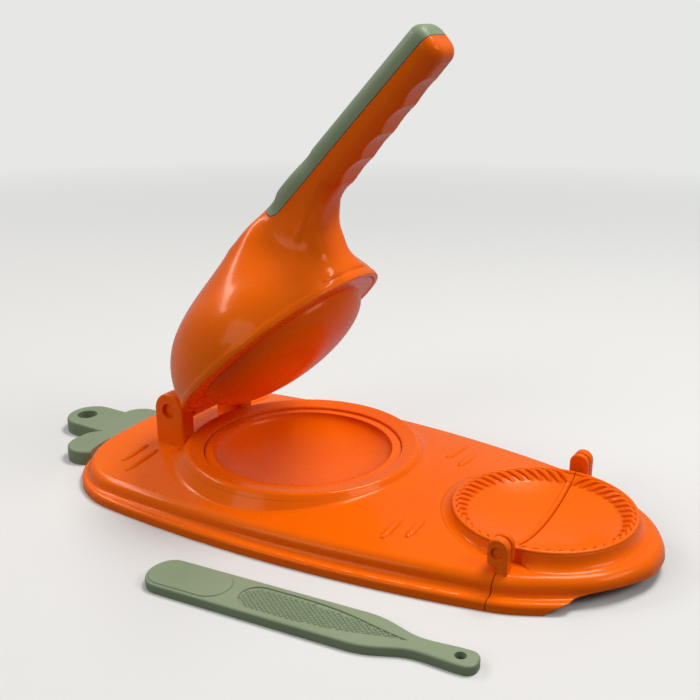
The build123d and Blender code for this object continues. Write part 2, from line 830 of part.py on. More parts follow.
# Hollow inside the handle, under the tray that the inlay lies in
def hollow_outline(s, top, bottom, half, corner):
    """Section of the handle's hollow at s; its lower corners stay clear of the handle's rounded ones."""
    roof = min(top, split_height(max(s, inlay_bottom_s))) - wall
    floor = bottom + wall + scallop_depth
    with BuildSketch(lever_section(min(s, handle_end - 2 * wall))) as outline:
        with Locations((0, (roof + floor) / 2)):
            RectangleRounded(2 * (half - wall - hollow_inset), roof - floor, wall / 2)
    return outline.sketch


with BuildPart() as handle_hollow:
    loft([hollow_outline(*station) for station in handle_stations[hollow_from:]])
    loft([hollow_outline(*grip_root), hollow_outline(*grip_tip)], ruled=True)

with BuildPart() as lever_shell:
    with BuildSketch(dome_frame):
        add(dome_face())
    revolve(axis=dome_axis, revolution_arc=360)
    with BuildSketch(plan_plane.offset(rim_off)):
        with Locations((dome_axis_s, 0)):
            Circle(dome_radius)
    extrude(amount=rim_band)
    add(handle.part)
    add(neck.part)
    # Barrel on the hinge axis, and the web that carries it
    add(along_y(barrel_radius, -hinge_x, hinge_z, -barrel_half, barrel_half))
    with BuildSketch(side_plane.offset(-barrel_half)):
        with Locations((web_length / 2, 0)):
            Rectangle(web_length, 2 * barrel_radius)
    extrude(amount=2 * barrel_half)
    # Hollow dome, and hollow handle
    with BuildSketch(dome_frame):
        add(dome_face(wall))
    revolve(axis=dome_axis, revolution_arc=360, mode=Mode.SUBTRACT)
    add(handle_hollow.part, mode=Mode.SUBTRACT)
    add(inlay_block.part, mode=Mode.SUBTRACT)
    # Ledge that backs the press plate's flange
    with BuildSketch(plan_plane.offset(plate_top)):
        with Locations((dome_axis_s, 0)):
            Circle(dome_inner_radius + rim_step)
            Circle(dome_inner_radius - ledge_ring, mode=Mode.SUBTRACT)
    extrude(amount=wall)
    # Room for the lugs, and the pin's bore
    for y0 in (lug_inner - lug_clearance, -lug_outer - lug_clearance):
        y1 = y0 + lug_outer - lug_inner + 2 * lug_clearance
        add(along_y(lug_radius + lug_clearance, -hinge_x, hinge_z, y0, y1), mode=Mode.SUBTRACT)
        with BuildSketch(side_plane.offset(-y1)):
            with Locations((0, -margin / 2)):
                Rectangle(2 * (lug_radius + lug_clearance), margin)
        extrude(amount=y1 - y0, mode=Mode.SUBTRACT)
    add(along_y(pin_radius + pin_clearance, -hinge_x, hinge_z, -far, far), mode=Mode.SUBTRACT)

lever_shell.part.label = "lever_shell"
export_step(lever_shell.part, "parts/lever_shell.step")

with BuildPart() as grip_inlay:
    add(inlay_block.part)
    with BuildSketch(side_plane.offset(inlay_wall - grip_half)):
        with BuildLine():
            start, end = inlay_start + 2 * inlay_half, handle_end - inlay_wall
            Polyline(
                (start, split_height(start) - inlay_sink),
                (end, split_height(end) - inlay_sink),
                (end, split_height(end) + inlay_depth - wall),
                (start, split_height(start) + inlay_depth - wall),
                close=True,
            )
        make_face()
    extrude(amount=2 * (grip_half - inlay_wall), mode=Mode.SUBTRACT)

grip_inlay.part.label = "grip_inlay"
export_step(grip_inlay.part, "parts/grip_inlay.step")

# ---------------------------------------------------------------- press plate

plate_bottom = plate_top - plate_flange
plate_flange_radius = dome_inner_radius - plate_clearance
with BuildPart() as press_plate:
    with BuildSketch(dome_frame):
        with BuildLine():
            EllipticalCenterArc((0, plate_bottom), plate_radius, plate_depth, 270, arc_size=90)
            Polyline(
                (plate_radius, plate_bottom),
                (plate_flange_radius, plate_bottom),
                (plate_flange_radius, plate_top),
                (plate_radius - wall, plate_top),
            )
            EllipticalCenterArc((0, plate_top), plate_radius - wall, plate_depth, 270, arc_size=90)
            Line((0, plate_top - plate_depth), (0, plate_bottom - plate_depth))
        make_face()
    revolve(axis=dome_axis, revolution_arc=360)

press_plate.part.label = "press_plate"
export_step(press_plate.part, "parts/press_plate.step")

# ---------------------------------------------------------------- lever pin

with BuildPart() as lever_pin:
    add(along_y(pin_radius, -hinge_x, hinge_z, -pin_half, pin_half))
    chamfer(lever_pin.edges().filter_by(GeomType.CIRCLE), 0.5)

lever_pin.part.label = "lever_pin"
export_step(lever_pin.part, "parts/lever_pin.step")

# ---------------------------------------------------------------- leaf-shaped tab

with BuildPart() as leaf_tab:
    with BuildSketch():
        for start, end, radius in (leaf_front, leaf_middle, leaf_rear):
            with Locations(start, end):
                Circle(radius)
            with BuildLine():
                Line(start, end)
            trace(line_width=2 * radius)
    extrude(amount=leaf_height)
    fillet(leaf_tab.faces().filter_by(Plane.XY).sort_by(Axis.Z)[-1].edges(), leaf_round)
    with BuildSketch():
        add(casing_outline(foot_out))
    extrude(amount=far, mode=Mode.SUBTRACT)
    with BuildSketch() as tongue:
        with Locations(((tongue_x + leaf_x) / 2, 0)):
            Rectangle(tongue_x - leaf_x, 2 * tongue_half)
    extrude(amount=tongue_thickness)
    with Locations((leaf_hole[0], leaf_hole[1], leaf_height)):
        Hole(leaf_hole[2])
    with Locations(*[Plane(origin=(x, y, 0), z_dir=(0, 0, -1)) for x, y in screw_places]):
        CounterBoreHole(screw_radius + 0.2, screw_head_radius + 0.2, screw_head + 0.2)

leaf_tab.part.label = "leaf_tab"
export_step(leaf_tab.part, "parts/leaf_tab.step")

with BuildPart() as leaf_screws:
    with BuildSketch(Plane.XY.offset(0.2)):
        with Locations(*screw_places):
            Circle(screw_head_radius)
    extrude(amount=screw_head)
    with BuildSketch(Plane.XY.offset(0.2)):
        with Locations(*screw_places):
            Circle(screw_radius)
    extrude(amount=screw_length - 0.2)

leaf_screws.part.label = "leaf_screws"
export_step(leaf_screws.part, "parts/leaf_screws.step")

# ---------------------------------------------------------------- spatula

turn = radians(spatula_turn)
spatula_plane = Plane(origin=(spatula_x, spatula_y, 0), x_dir=(cos(turn), sin(turn), 0), z_dir=(0, 0, 1))

with BuildSketch() as spatula_blank:
    with BuildLine():
        EllipticalCenterArc((spatula_bow, 0), spatula_bow, spatula_half, 90, arc_size=90)
        Line((spatula_bow, spatula_half), (spatula_blade, spatula_half))
        Spline(
            (spatula_blade, spatula_half),
            (spatula_neck, spatula_neck_half),
            (spatula_length - spatula_hole_in, spatula_tail_half),
            tangents=[(1, 0), (1, 0.03)],
        )
        Polyline(
            (spatula_length - spatula_hole_in, spatula_tail_half),
            (spatula_length, spatula_tail_half),
            (spatula_length, 0),
        )
        mirror(about=Plane.XZ)
    make_face()
    fillet(spatula_blank.vertices().sort_by(Axis.X)[-2:], spatula_tail_round)

plateau_half = spatula_half - plateau_inset
with BuildSketch() as plateau:
    with BuildLine():
        EllipticalCenterArc((spatula_bow, 0), spatula_bow - plateau_inset, plateau_half, 90, arc_size=180)
        Line((spatula_bow, -plateau_half), (plateau_end - plateau_half, -plateau_half))
        ThreePointArc(
            (plateau_end - plateau_half, -plateau_half),
            (plateau_end, 0),
            (plateau_end - plateau_half, plateau_half),
        )
        Line((plateau_end - plateau_half, plateau_half), (spatula_bow, plateau_half))
    make_face()

panel_bow = panel_start + panel_half
with BuildPart() as spatula:
    with BuildSketch(spatula_plane):
        add(spatula_blank.sketch)
    extrude(amount=spatula_thickness)
    fillet(spatula.faces().sort_by(Axis.Z)[-1].outer_wire().edges(), spatula_round)
    # Raised face of the blade's end
    with BuildSketch(spatula_plane.offset(spatula_thickness)):
        add(plateau.sketch)
    extrude(amount=plateau_height)
    fillet(spatula.faces().sort_by(Axis.Z)[-1].outer_wire().edges(), plateau_round)
    # Sunk grip panel, round at one end and pointed at the other
    with BuildSketch(spatula_plane.offset(spatula_thickness)):
        with BuildLine():
            ThreePointArc((panel_bow, -panel_half), (panel_start, 0), (panel_bow, panel_half))
            Spline(
                (panel_bow, panel_half),
                (spatula_blade - panel_half, panel_half * 0.8),
                (panel_end, 0),
                tangents=[(1, 0), (1, -0.15)],
            )
            Spline(
                (panel_bow, -panel_half),
                (spatula_blade - panel_half, -panel_half * 0.8),
                (panel_end, 0),
                tangents=[(1, 0), (1, 0.15)],
            )
        make_face()
    extrude(amount=-panel_depth, mode=Mode.SUBTRACT)
    with Locations(spatula_plane * Pos(spatula_length - spatula_hole_in, 0, spatula_thickness)):
        Hole(spatula_hole)

spatula.part.label = "spatula"
export_step(spatula.part, "parts/spatula.step")
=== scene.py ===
import json
from math import cos, pi, radians, sin, sqrt

import bmesh
import bpy
import numpy as np
from mathutils import Matrix, Vector
from mathutils.bvhtree import BVHTree


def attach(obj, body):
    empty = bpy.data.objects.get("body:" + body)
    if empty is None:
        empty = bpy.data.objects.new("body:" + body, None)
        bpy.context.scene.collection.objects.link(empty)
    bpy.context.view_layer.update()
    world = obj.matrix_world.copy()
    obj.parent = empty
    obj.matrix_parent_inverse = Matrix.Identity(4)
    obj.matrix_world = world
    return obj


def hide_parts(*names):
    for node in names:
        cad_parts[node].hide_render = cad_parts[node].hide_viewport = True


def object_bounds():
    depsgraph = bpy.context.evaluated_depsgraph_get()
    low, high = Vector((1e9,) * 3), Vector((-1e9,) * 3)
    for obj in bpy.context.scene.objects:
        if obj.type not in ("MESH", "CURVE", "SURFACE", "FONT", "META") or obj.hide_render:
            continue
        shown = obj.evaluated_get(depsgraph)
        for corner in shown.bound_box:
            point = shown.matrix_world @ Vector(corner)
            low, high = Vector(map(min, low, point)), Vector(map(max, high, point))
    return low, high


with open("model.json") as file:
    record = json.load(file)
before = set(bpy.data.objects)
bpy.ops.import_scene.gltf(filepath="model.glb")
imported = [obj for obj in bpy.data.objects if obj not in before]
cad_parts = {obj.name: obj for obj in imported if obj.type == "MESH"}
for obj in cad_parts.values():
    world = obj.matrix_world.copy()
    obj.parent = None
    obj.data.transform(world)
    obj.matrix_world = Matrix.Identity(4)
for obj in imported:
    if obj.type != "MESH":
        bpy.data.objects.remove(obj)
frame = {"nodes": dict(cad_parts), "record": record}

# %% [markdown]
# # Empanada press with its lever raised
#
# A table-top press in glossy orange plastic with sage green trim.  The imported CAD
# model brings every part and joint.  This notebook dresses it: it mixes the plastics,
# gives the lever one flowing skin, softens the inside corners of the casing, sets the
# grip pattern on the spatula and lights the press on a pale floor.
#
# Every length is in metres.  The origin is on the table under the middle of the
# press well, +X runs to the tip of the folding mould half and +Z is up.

MM = 0.001
cad_box = [list(corner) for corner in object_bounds()]
nodes = frame["nodes"]
print("CAD nodes:", ", ".join(sorted(nodes)))
print("CAD box:", [[round(value, 4) for value in corner] for corner in cad_box])

# %% [markdown]
# ## Measures of the press
#
# These repeat the driving sizes of the CAD source, because this script can't read it.
# The lever has its own frame: s runs along it from the hinge, off is square to it.

# %% Measures
HINGE = Vector((-60.3, 0.0, 32.0)) * MM
LEVER_TILT = radians(42.8)
LEVER_ALONG = Vector((cos(LEVER_TILT), 0.0, sin(LEVER_TILT)))
LEVER_OFF = Vector((-sin(LEVER_TILT), 0.0, cos(LEVER_TILT)))
DOME_S = 60.3 * MM
RIM_OFF = -7.5 * MM
DOME_OUTER = 55.0 * MM
DOME_RISE = 43.8 * MM

SEAM_X = 123.0 * MM
SPATULA_CORNER = Vector((-2.5, -105.9, 0.0)) * MM
SPATULA_TURN = radians(5.5)
SPATULA_THICK = 4.0 * MM
PANEL_START = 42.5 * MM
PANEL_END = 113.0 * MM
PANEL_HALF = 7.6 * MM
PANEL_DEPTH = 0.6 * MM


def lever_frame(points):
    """World points as (s along the lever, y across it, off square to it)."""
    local = points - np.array(HINGE)
    return np.stack([local @ np.array(LEVER_ALONG), local[:, 1], local @ np.array(LEVER_OFF)], 1)


# %% [markdown]
# ## Plastics
#
# Moulded plastic is never one flat colour.  A shared node group makes the slow drift
# of its tone, the fine grain of its gloss, thin scuffs, and a normal that rounds every
# edge and carries the grain.  Each plastic mixes its own colours and gloss from those
# masks, and sets its constants on the shader's own sockets.

# %% The shared moulding group
def socket(group, name, kind, is_input, default=None):
    """Adds one named socket to a node group's interface."""
    made = group.interface.new_socket(name=name, in_out="INPUT" if is_input else "OUTPUT", socket_type=kind)
    if default is not None:
        made.default_value = default
    return made


def moulded_surface_group():
    """Node group: drift, grain, scuffs and a normal for moulded plastic."""
    group = bpy.data.node_groups.new("moulded_surface", "ShaderNodeTree")
    socket(group, "Drift scale", "NodeSocketFloat", True, 18.0)
    socket(group, "Grain scale", "NodeSocketFloat", True, 900.0)
    socket(group, "Grain depth", "NodeSocketFloat", True, 0.04)
    socket(group, "Edge radius", "NodeSocketFloat", True, 0.0005)
    socket(group, "Drift", "NodeSocketFloat", False)
    socket(group, "Grain", "NodeSocketFloat", False)
    socket(group, "Scuffs", "NodeSocketFloat", False)
    socket(group, "Normal", "NodeSocketVector", False)
    tree, link = group.nodes, group.links.new
    given = tree.new("NodeGroupInput")
    result = tree.new("NodeGroupOutput")
    place = tree.new("ShaderNodeTexCoord")

    drift = tree.new("ShaderNodeTexNoise")
    drift.inputs["Detail"].default_value = 3.0
    link(place.outputs["Object"], drift.inputs["Vector"])
    link(given.outputs["Drift scale"], drift.inputs["Scale"])
    link(drift.outputs["Fac"], result.inputs["Drift"])

    grain = tree.new("ShaderNodeTexNoise")
    grain.inputs["Detail"].default_value = 2.0
    grain.inputs["Roughness"].default_value = 0.6
    link(place.outputs["Object"], grain.inputs["Vector"])
    link(given.outputs["Grain scale"], grain.inputs["Scale"])
    link(grain.outputs["Fac"], result.inputs["Grain"])

    # Scuffs are thin and long: stretched noise, kept only at its peaks
    stretch = tree.new("ShaderNodeMapping")
    stretch.inputs["Scale"].default_value = (1.0, 9.0, 3.0)
    stretch.inputs["Rotation"].default_value = (0.2, 0.5, 0.7)
    link(place.outputs["Object"], stretch.inputs["Vector"])
    scratch = tree.new("ShaderNodeTexNoise")
    scratch.inputs["Scale"].default_value = 60.0
    scratch.inputs["Detail"].default_value = 5.0
    link(stretch.outputs["Vector"], scratch.inputs["Vector"])
    peaks = tree.new("ShaderNodeMapRange")
    peaks.inputs["From Min"].default_value = 0.62
    peaks.inputs["From Max"].default_value = 0.80
    link(scratch.outputs["Fac"], peaks.inputs["Value"])
    link(peaks.outputs["Result"], result.inputs["Scuffs"])

    edges = tree.new("ShaderNodeBevel")
    edges.samples = 6
    link(given.outputs["Edge radius"], edges.inputs["Radius"])
    bump = tree.new("ShaderNodeBump")
    bump.inputs["Distance"].default_value = 0.0001
    link(given.outputs["Grain depth"], bump.inputs["Strength"])
    link(grain.outputs["Fac"], bump.inputs["Height"])
    link(edges.outputs["Normal"], bump.inputs["Normal"])
    link(bump.outputs["Normal"], result.inputs["Normal"])
    return group


MOULDED = moulded_surface_group()
print("group", MOULDED.name, "with", len(MOULDED.nodes), "nodes")

# %% Mixing a plastic
def mix_colour(tree, factor, first, second):
    """Colour between first and second by a factor socket."""
    mix = tree.nodes.new("ShaderNodeMix")
    mix.data_type = "RGBA"
    mix.inputs["A"].default_value = (*first, 1.0)
    mix.inputs["B"].default_value = (*second, 1.0)
    tree.links.new(factor, mix.inputs["Factor"])
    return mix.outputs["Result"]


def map_value(tree, value, low, high, new_low, new_high):
    """Value moved from one range to another."""
    node = tree.nodes.new("ShaderNodeMapRange")
    for name, number in (("From Min", low), ("From Max", high), ("To Min", new_low), ("To Max", new_high)):
        node.inputs[name].default_value = number
    tree.links.new(value, node.inputs["Value"])
    return node.outputs["Result"]


PLASTIC_IOR = 1.46
SCUFF_ROUGHNESS = 0.10


def plastic(name, full, deep, gloss, grain_scale, grain_depth, edge, coat, coat_gloss, specular, sheen):
    """Moulded plastic between two tones, with its gloss between two roughnesses."""
    material = bpy.data.materials.new(name)
    material.use_nodes = True
    tree = material.node_tree
    shader = tree.nodes["Principled BSDF"]
    surface = tree.nodes.new("ShaderNodeGroup")
    surface.node_tree = MOULDED
    surface.inputs["Grain scale"].default_value = grain_scale
    surface.inputs["Grain depth"].default_value = grain_depth
    surface.inputs["Edge radius"].default_value = edge
    tone = map_value(tree, surface.outputs["Drift"], 0.3, 0.7, 0.0, 1.0)
    tree.links.new(mix_colour(tree, tone, full, deep), shader.inputs["Base Color"])
    rough = map_value(tree, surface.outputs["Grain"], 0.3, 0.7, gloss[0], gloss[1])
    worn = tree.nodes.new("ShaderNodeMath")
    worn.operation = "MULTIPLY_ADD"
    worn.inputs[1].default_value = SCUFF_ROUGHNESS
    tree.links.new(surface.outputs["Scuffs"], worn.inputs[0])
    tree.links.new(rough, worn.inputs[2])
    tree.links.new(worn.outputs[0], shader.inputs["Roughness"])
    tree.links.new(surface.outputs["Normal"], shader.inputs["Normal"])
    shader.inputs["IOR"].default_value = PLASTIC_IOR
    shader.inputs["Specular IOR Level"].default_value = specular
    shader.inputs["Specular Tint"].default_value = (*sheen, 1.0)
    shader.inputs["Coat Weight"].default_value = coat
    shader.inputs["Coat Roughness"].default_value = coat_gloss
    return material


orange_plastic = plastic(
    "glossy_orange_plastic",
    full=(0.960, 0.150, 0.001),
    deep=(0.930, 0.136, 0.001),
    gloss=(0.22, 0.30),
    grain_scale=700.0,
    grain_depth=0.03,
    edge=0.0005,
    coat=0.14,
    coat_gloss=0.07,
    specular=0.25,
    sheen=(1.0, 0.36, 0.08),
)
sage_plastic = plastic(
    "satin_sage_plastic",
    full=(0.262, 0.325, 0.205),
    deep=(0.222, 0.285, 0.176),
    gloss=(0.40, 0.52),
    grain_scale=1400.0,
    grain_depth=0.12,
    edge=0.0004,
    coat=0.0,
    coat_gloss=0.2,
    specular=0.4,
    sheen=(0.85, 1.0, 0.80),
)
print("plastics:", orange_plastic.name, "and", sage_plastic.name)

# %% [markdown]
# ### Screw steel
#
# The two screws under the leaf tab are plain steel: fine turning marks vary their
# tone and their roughness.

# %% Screw steel
def screw_steel_material():
    """Turned steel with fine rings."""
    material = bpy.data.materials.new("turned_screw_steel")
    material.use_nodes = True
    tree = material.node_tree
    shader = tree.nodes["Principled BSDF"]
    place = tree.nodes.new("ShaderNodeTexCoord")
    rings = tree.nodes.new("ShaderNodeTexWave")
    rings.wave_type = "RINGS"
    rings.inputs["Scale"].default_value = 900.0
    rings.inputs["Distortion"].default_value = 2.0
    tree.links.new(place.outputs["Object"], rings.inputs["Vector"])
    tone = mix_colour(tree, rings.outputs["Fac"], (0.55, 0.55, 0.56), (0.66, 0.66, 0.67))
    rough = map_value(tree, rings.outputs["Fac"], 0.0, 1.0, 0.28, 0.42)
    tree.links.new(tone, shader.inputs["Base Color"])
    tree.links.new(rough, shader.inputs["Roughness"])
    shader.inputs["Metallic"].default_value = 1.0
    return material


screw_steel = screw_steel_material()

# %% [markdown]
# ## CAD parts get their plastics
#
# A CAD part whose shape is right stays as it is and only changes its material.

# %% Dress the CAD nodes
finish_of_slot = {
    "orange_plastic": orange_plastic,
    "green_plastic": sage_plastic,
    "screw_steel": screw_steel,
}
slot_of_node = {part["node"]: part["material_slot"] for part in frame["record"]["subparts"]}
for name, node in nodes.items():
    for index in range(len(node.material_slots)):
        node.material_slots[index].material = finish_of_slot[slot_of_node[name]]
    print(f"{name}: {slot_of_node[name]}")

# %% [markdown]
# ## One flowing skin for the lever
#
# The real lever is one moulding: its handle pours into the dome with no crease.  The
# CAD shell has the same dome and handle, but they meet at a sharp edge.  A copy of the
# shell is joined to a copy of the grip inlay, its flanks are drawn in beside the
# tongue, and it is given an even mesh.  The dome's shoulders are raised to a hull
# stretched from the root of the grip, and then the join is relaxed.  Every vertex away
# from the join is drawn back onto the surface that it had before, so that the rim and
# the rest of the dome keep their shape.

# %% Helpers for meshes
MERGE_REACH = 1e-6


def vertex_places(mesh):
    """All vertex places of a mesh as an array."""
    flat = np.zeros(len(mesh.vertices) * 3, np.float32)
    mesh.vertices.foreach_get("co", flat)
    return flat.reshape(-1, 3).astype(float)


def set_places(mesh, places):
    """Moves all vertices of a mesh to the places of an array."""
    mesh.vertices.foreach_set("co", places.astype(np.float32).ravel())
    mesh.update()


def merged_copy(node, name):
    """Copy of a CAD node's mesh with its loose triangles merged, as a new object."""
    mesh = bpy.data.meshes.new(name)
    shape = bmesh.new()
    shape.from_mesh(node.data)
    bmesh.ops.remove_doubles(shape, verts=shape.verts, dist=MERGE_REACH)
    shape.to_mesh(mesh)
    shape.free()
    piece = bpy.data.objects.new(name, mesh)
    bpy.context.scene.collection.objects.link(piece)
    return piece


def apply_modifiers(piece):
    """Puts the result of an object's modifiers into its mesh and removes them."""
    graph = bpy.context.evaluated_depsgraph_get()
    graph.update()
    made = bpy.data.meshes.new_from_object(piece.evaluated_get(graph))
    piece.modifiers.clear()
    old = piece.data
    piece.data = made
    made.name = piece.name
    bpy.data.meshes.remove(old)
    return piece


def smooth_step(low, high, value):
    """0 below low, 1 above high and a soft ramp between."""
    share = np.clip((value - low) / (high - low), 0, 1)
    return share * share * (3 - 2 * share)


# %% Even mesh of the lever
LEVER_VOXEL = 0.86 * MM
# Half widths and the top line of the handle, in millimetres, as (s, value)
HANDLE_WIDTHS = (
    (42, 18.0), (60, 24.0), (80, 23.0), (98, 18.6), (110, 14.6),
    (118, 12.4), (127, 11.0), (140, 10.5), (213, 10.2),
)
GRIP_TOP = ((140, 46.3), (213, 51.2))
GRIP_HALF = 10.4 * MM
FLANK_DEPTH = 16 * MM
FLANK_OVERLAP = 1 * MM
# A blend's two places: where it is nothing and where it is full
NARROW_START = (95 * MM, 104 * MM)
NARROW_END = (142 * MM, 128 * MM)
TONGUE_DEPTH = 8.5 * MM
TONGUE_START = 103.0 * MM
TONGUE_ROUND = 6.5 * MM
JOINT_LINE = 0.25 * MM


def tongue_split(s):
    """Height off the lever of the joint between the orange handle and its green tongue."""
    (s0, top0), (s1, top1) = GRIP_TOP
    return (top0 + (s / MM - s0) * (top1 - top0) / (s1 - s0)) * MM - TONGUE_DEPTH


def narrow_the_back(places):
    """Draws the handle's flanks in beside the tongue, so that the neck only flares below it."""
    local = lever_frame(places)
    s, off = local[:, 0], local[:, 2]
    half = np.interp(s / MM, *np.array(HANDLE_WIDTHS).T) * MM
    beside = smooth_step(tongue_split(s) - FLANK_DEPTH, tongue_split(s) + FLANK_OVERLAP, off)
    along = smooth_step(*NARROW_START, s) * smooth_step(*NARROW_END, s)
    shrink = 1 - (1 - np.minimum(1, GRIP_HALF / half)) * beside * along
    narrowed = places.copy()
    narrowed[:, 1] *= shrink
    return narrowed


lever_skin = merged_copy(nodes["lever_shell"], "lever_skin")
inlay = merged_copy(nodes["grip_inlay"], "inlay_copy")
with bpy.context.temp_override(
    active_object=lever_skin,
    object=lever_skin,
    selected_editable_objects=[lever_skin, inlay],
    selected_objects=[lever_skin, inlay],
):
    bpy.ops.object.join()
set_places(lever_skin.data, narrow_the_back(vertex_places(lever_skin.data)))
surface = BVHTree.FromPolygons(
    [vertex.co.copy() for vertex in lever_skin.data.vertices],
    [tuple(face.vertices) for face in lever_skin.data.polygons],
)
voxels = lever_skin.modifiers.new("even_mesh", "REMESH")
voxels.mode = "VOXEL"
voxels.voxel_size = LEVER_VOXEL
apply_modifiers(lever_skin)
print("lever skin:", len(lever_skin.data.vertices), "vertices")

# %% Relax the join between handle and dome
RELAX_STEP = 0.5             # share of the way that a vertex moves in one round


def relax(piece, weight, rounds):
    """Moves each vertex to the middle of its neighbours, scaled by its weight."""
    places = vertex_places(piece.data)
    ends = np.zeros(len(piece.data.edges) * 2, np.int32)
    piece.data.edges.foreach_get("vertices", ends)
    ends = ends.reshape(-1, 2)
    counts = np.bincount(ends.ravel(), minlength=len(places)).astype(float)
    for _ in range(rounds):
        sums = np.zeros_like(places)
        for axis in range(3):
            sums[:, axis] = np.bincount(ends[:, 0], places[ends[:, 1], axis], len(places))
            sums[:, axis] += np.bincount(ends[:, 1], places[ends[:, 0], axis], len(places))
        middle = sums / counts[:, None]
        places += weight[:, None] * RELAX_STEP * (middle - places)
    set_places(piece.data, places)
    return places


def distance_to_dome(local):
    """Distance outside the dome's outer face, in lever coordinates."""
    rise = local[:, 2] - RIM_OFF
    centre_radius = np.hypot(local[:, 0] - DOME_S, local[:, 1])
    return np.hypot(centre_radius, rise * DOME_OUTER / DOME_RISE) - DOME_OUTER


# What the hull is stretched over: the dome's outer skin and the root of the grip
DOME_SKIN = 0.6 * MM
DOME_BACK_S = 74 * MM
DOME_BACK_OFF = -3 * MM
ROOT_START = 97 * MM
ROOT_END = 106 * MM
ROOT_OFF = 24 * MM
HULL_STRIDE = 5
SHOULDER_REACH = 14.0 * MM


def shoulder_hull(places, local, gap):
    """Convex skin stretched from the grip's root over the back half of the dome, as a search tree."""
    s, off = local[:, 0], local[:, 2]
    dome_back = (np.abs(gap) < DOME_SKIN) & (s < DOME_BACK_S) & (off > DOME_BACK_OFF)
    grip_root = (s > ROOT_START) & (s < ROOT_END) & (off > ROOT_OFF)
    shape = bmesh.new()
    for index in np.nonzero(dome_back | grip_root)[0][::HULL_STRIDE]:
        shape.verts.new(places[index])
    bmesh.ops.convex_hull(shape, input=shape.verts)
    bmesh.ops.recalc_face_normals(shape, faces=shape.faces)
    tree = BVHTree.FromBMesh(shape)
    shape.free()
    return tree


# Blends of the lift and of the join, each from where it is nothing to where it is full
LIFT_ALONG = (97.0 * MM, 90.0 * MM)
LIFT_ABOVE_RIM = (0.0, 6.0 * MM)
LIFT_COUNTS = (0.0, 0.5 * MM)
JOIN_FROM_DOME = (12.0 * MM, 3.0 * MM)
JOIN_ACROSS = (44.0 * MM, 30.0 * MM)
JOIN_ABOVE_RIM = (3.0 * MM, 10.0 * MM)
JOIN_END = (122.0 * MM, 114.0 * MM)
BACK_START = (74 * MM, 84 * MM)
BACK_END = (116 * MM, 106 * MM)
BACK_OFF = (14 * MM, 22 * MM)
INNER_SKIN = -1.0 * MM
RELAX_ROUNDS = 220

places = vertex_places(lever_skin.data)
local = lever_frame(places)
gap = distance_to_dome(local)
shoulders = shoulder_hull(places, local, gap)
above_rim = local[:, 2] - RIM_OFF
root_side = smooth_step(*LIFT_ALONG, local[:, 0]) * smooth_step(*LIFT_ABOVE_RIM, above_rim)
outside = gap > INNER_SKIN
lifted = places.copy()
lift = np.zeros(len(places))
for index in np.nonzero((root_side > 0) & outside)[0]:
    place, normal, _, reach = shoulders.find_nearest(Vector(places[index]), SHOULDER_REACH)
    if place is not None and (place - Vector(places[index])).dot(normal) > 0:
        lifted[index] += root_side[index] * (np.array(place) - lifted[index])
        lift[index] = reach * root_side[index]
set_places(lever_skin.data, lifted)
print("shoulder lift, largest:", round(lift.max() * 1000, 2), "mm")

on_dome = smooth_step(*JOIN_FROM_DOME, np.abs(gap))
near_neck = smooth_step(*JOIN_ACROSS, np.abs(local[:, 1]))
clear_of_rim = smooth_step(*JOIN_ABOVE_RIM, above_rim)
join_weight = np.maximum(on_dome * near_neck, smooth_step(*LIFT_COUNTS, lift)) * clear_of_rim * outside
join_weight *= smooth_step(*JOIN_END, local[:, 0])
# The back of the neck is relaxed too, from the dome to just past the tongue's low end
back = smooth_step(*BACK_START, local[:, 0]) * smooth_step(*BACK_END, local[:, 0])
join_weight = np.maximum(join_weight, back * smooth_step(*BACK_OFF, local[:, 2]))
relaxed = relax(lever_skin, join_weight, RELAX_ROUNDS)
print("join vertices:", int((join_weight > 0.5).sum()))

# %% Draw the rest back onto the surface from before the even mesh
SNAP_REACH = 2.0 * MM
FULLY_RELAXED = 0.999
snapped = relaxed.copy()
for index in np.nonzero(join_weight < FULLY_RELAXED)[0]:
    hit = surface.find_nearest(Vector(relaxed[index]), SNAP_REACH)
    if hit[0] is not None:
        share = 1.0 - join_weight[index]
        snapped[index] = relaxed[index] * (1 - share) + np.array(hit[0]) * share
set_places(lever_skin.data, snapped)
print("drawn back:", int((join_weight < FULLY_RELAXED).sum()), "vertices")

# %% [markdown]
# ### The green tongue
#
# The grip's back is a separate green tongue, whose low end is rounded as seen from the
# side.  One cutter shape parts the lever skin in two: what lies inside it is the
# tongue, what lies outside is the orange lever.  The cutter that parts the lever is a
# hair larger, which leaves the fine dark joint line between the two mouldings.

# %% Cutter and tongue
def lever_point(s, y, off):
    """World place of a point given in the lever's frame."""
    return HINGE + LEVER_ALONG * s + Vector((0, y, 0)) + LEVER_OFF * off


# The cutter passes well clear of the handle's end, top and flanks
CUTTER_END = 230 * MM
CUTTER_TOP = 90 * MM
CUTTER_HALF = 30 * MM
CUTTER_ROUND_STEPS = 12
CUTTER_LONG_POINTS = 12
CUTTER_ROUND_GAP = 2 * MM    # from the round end to the first point of the long line


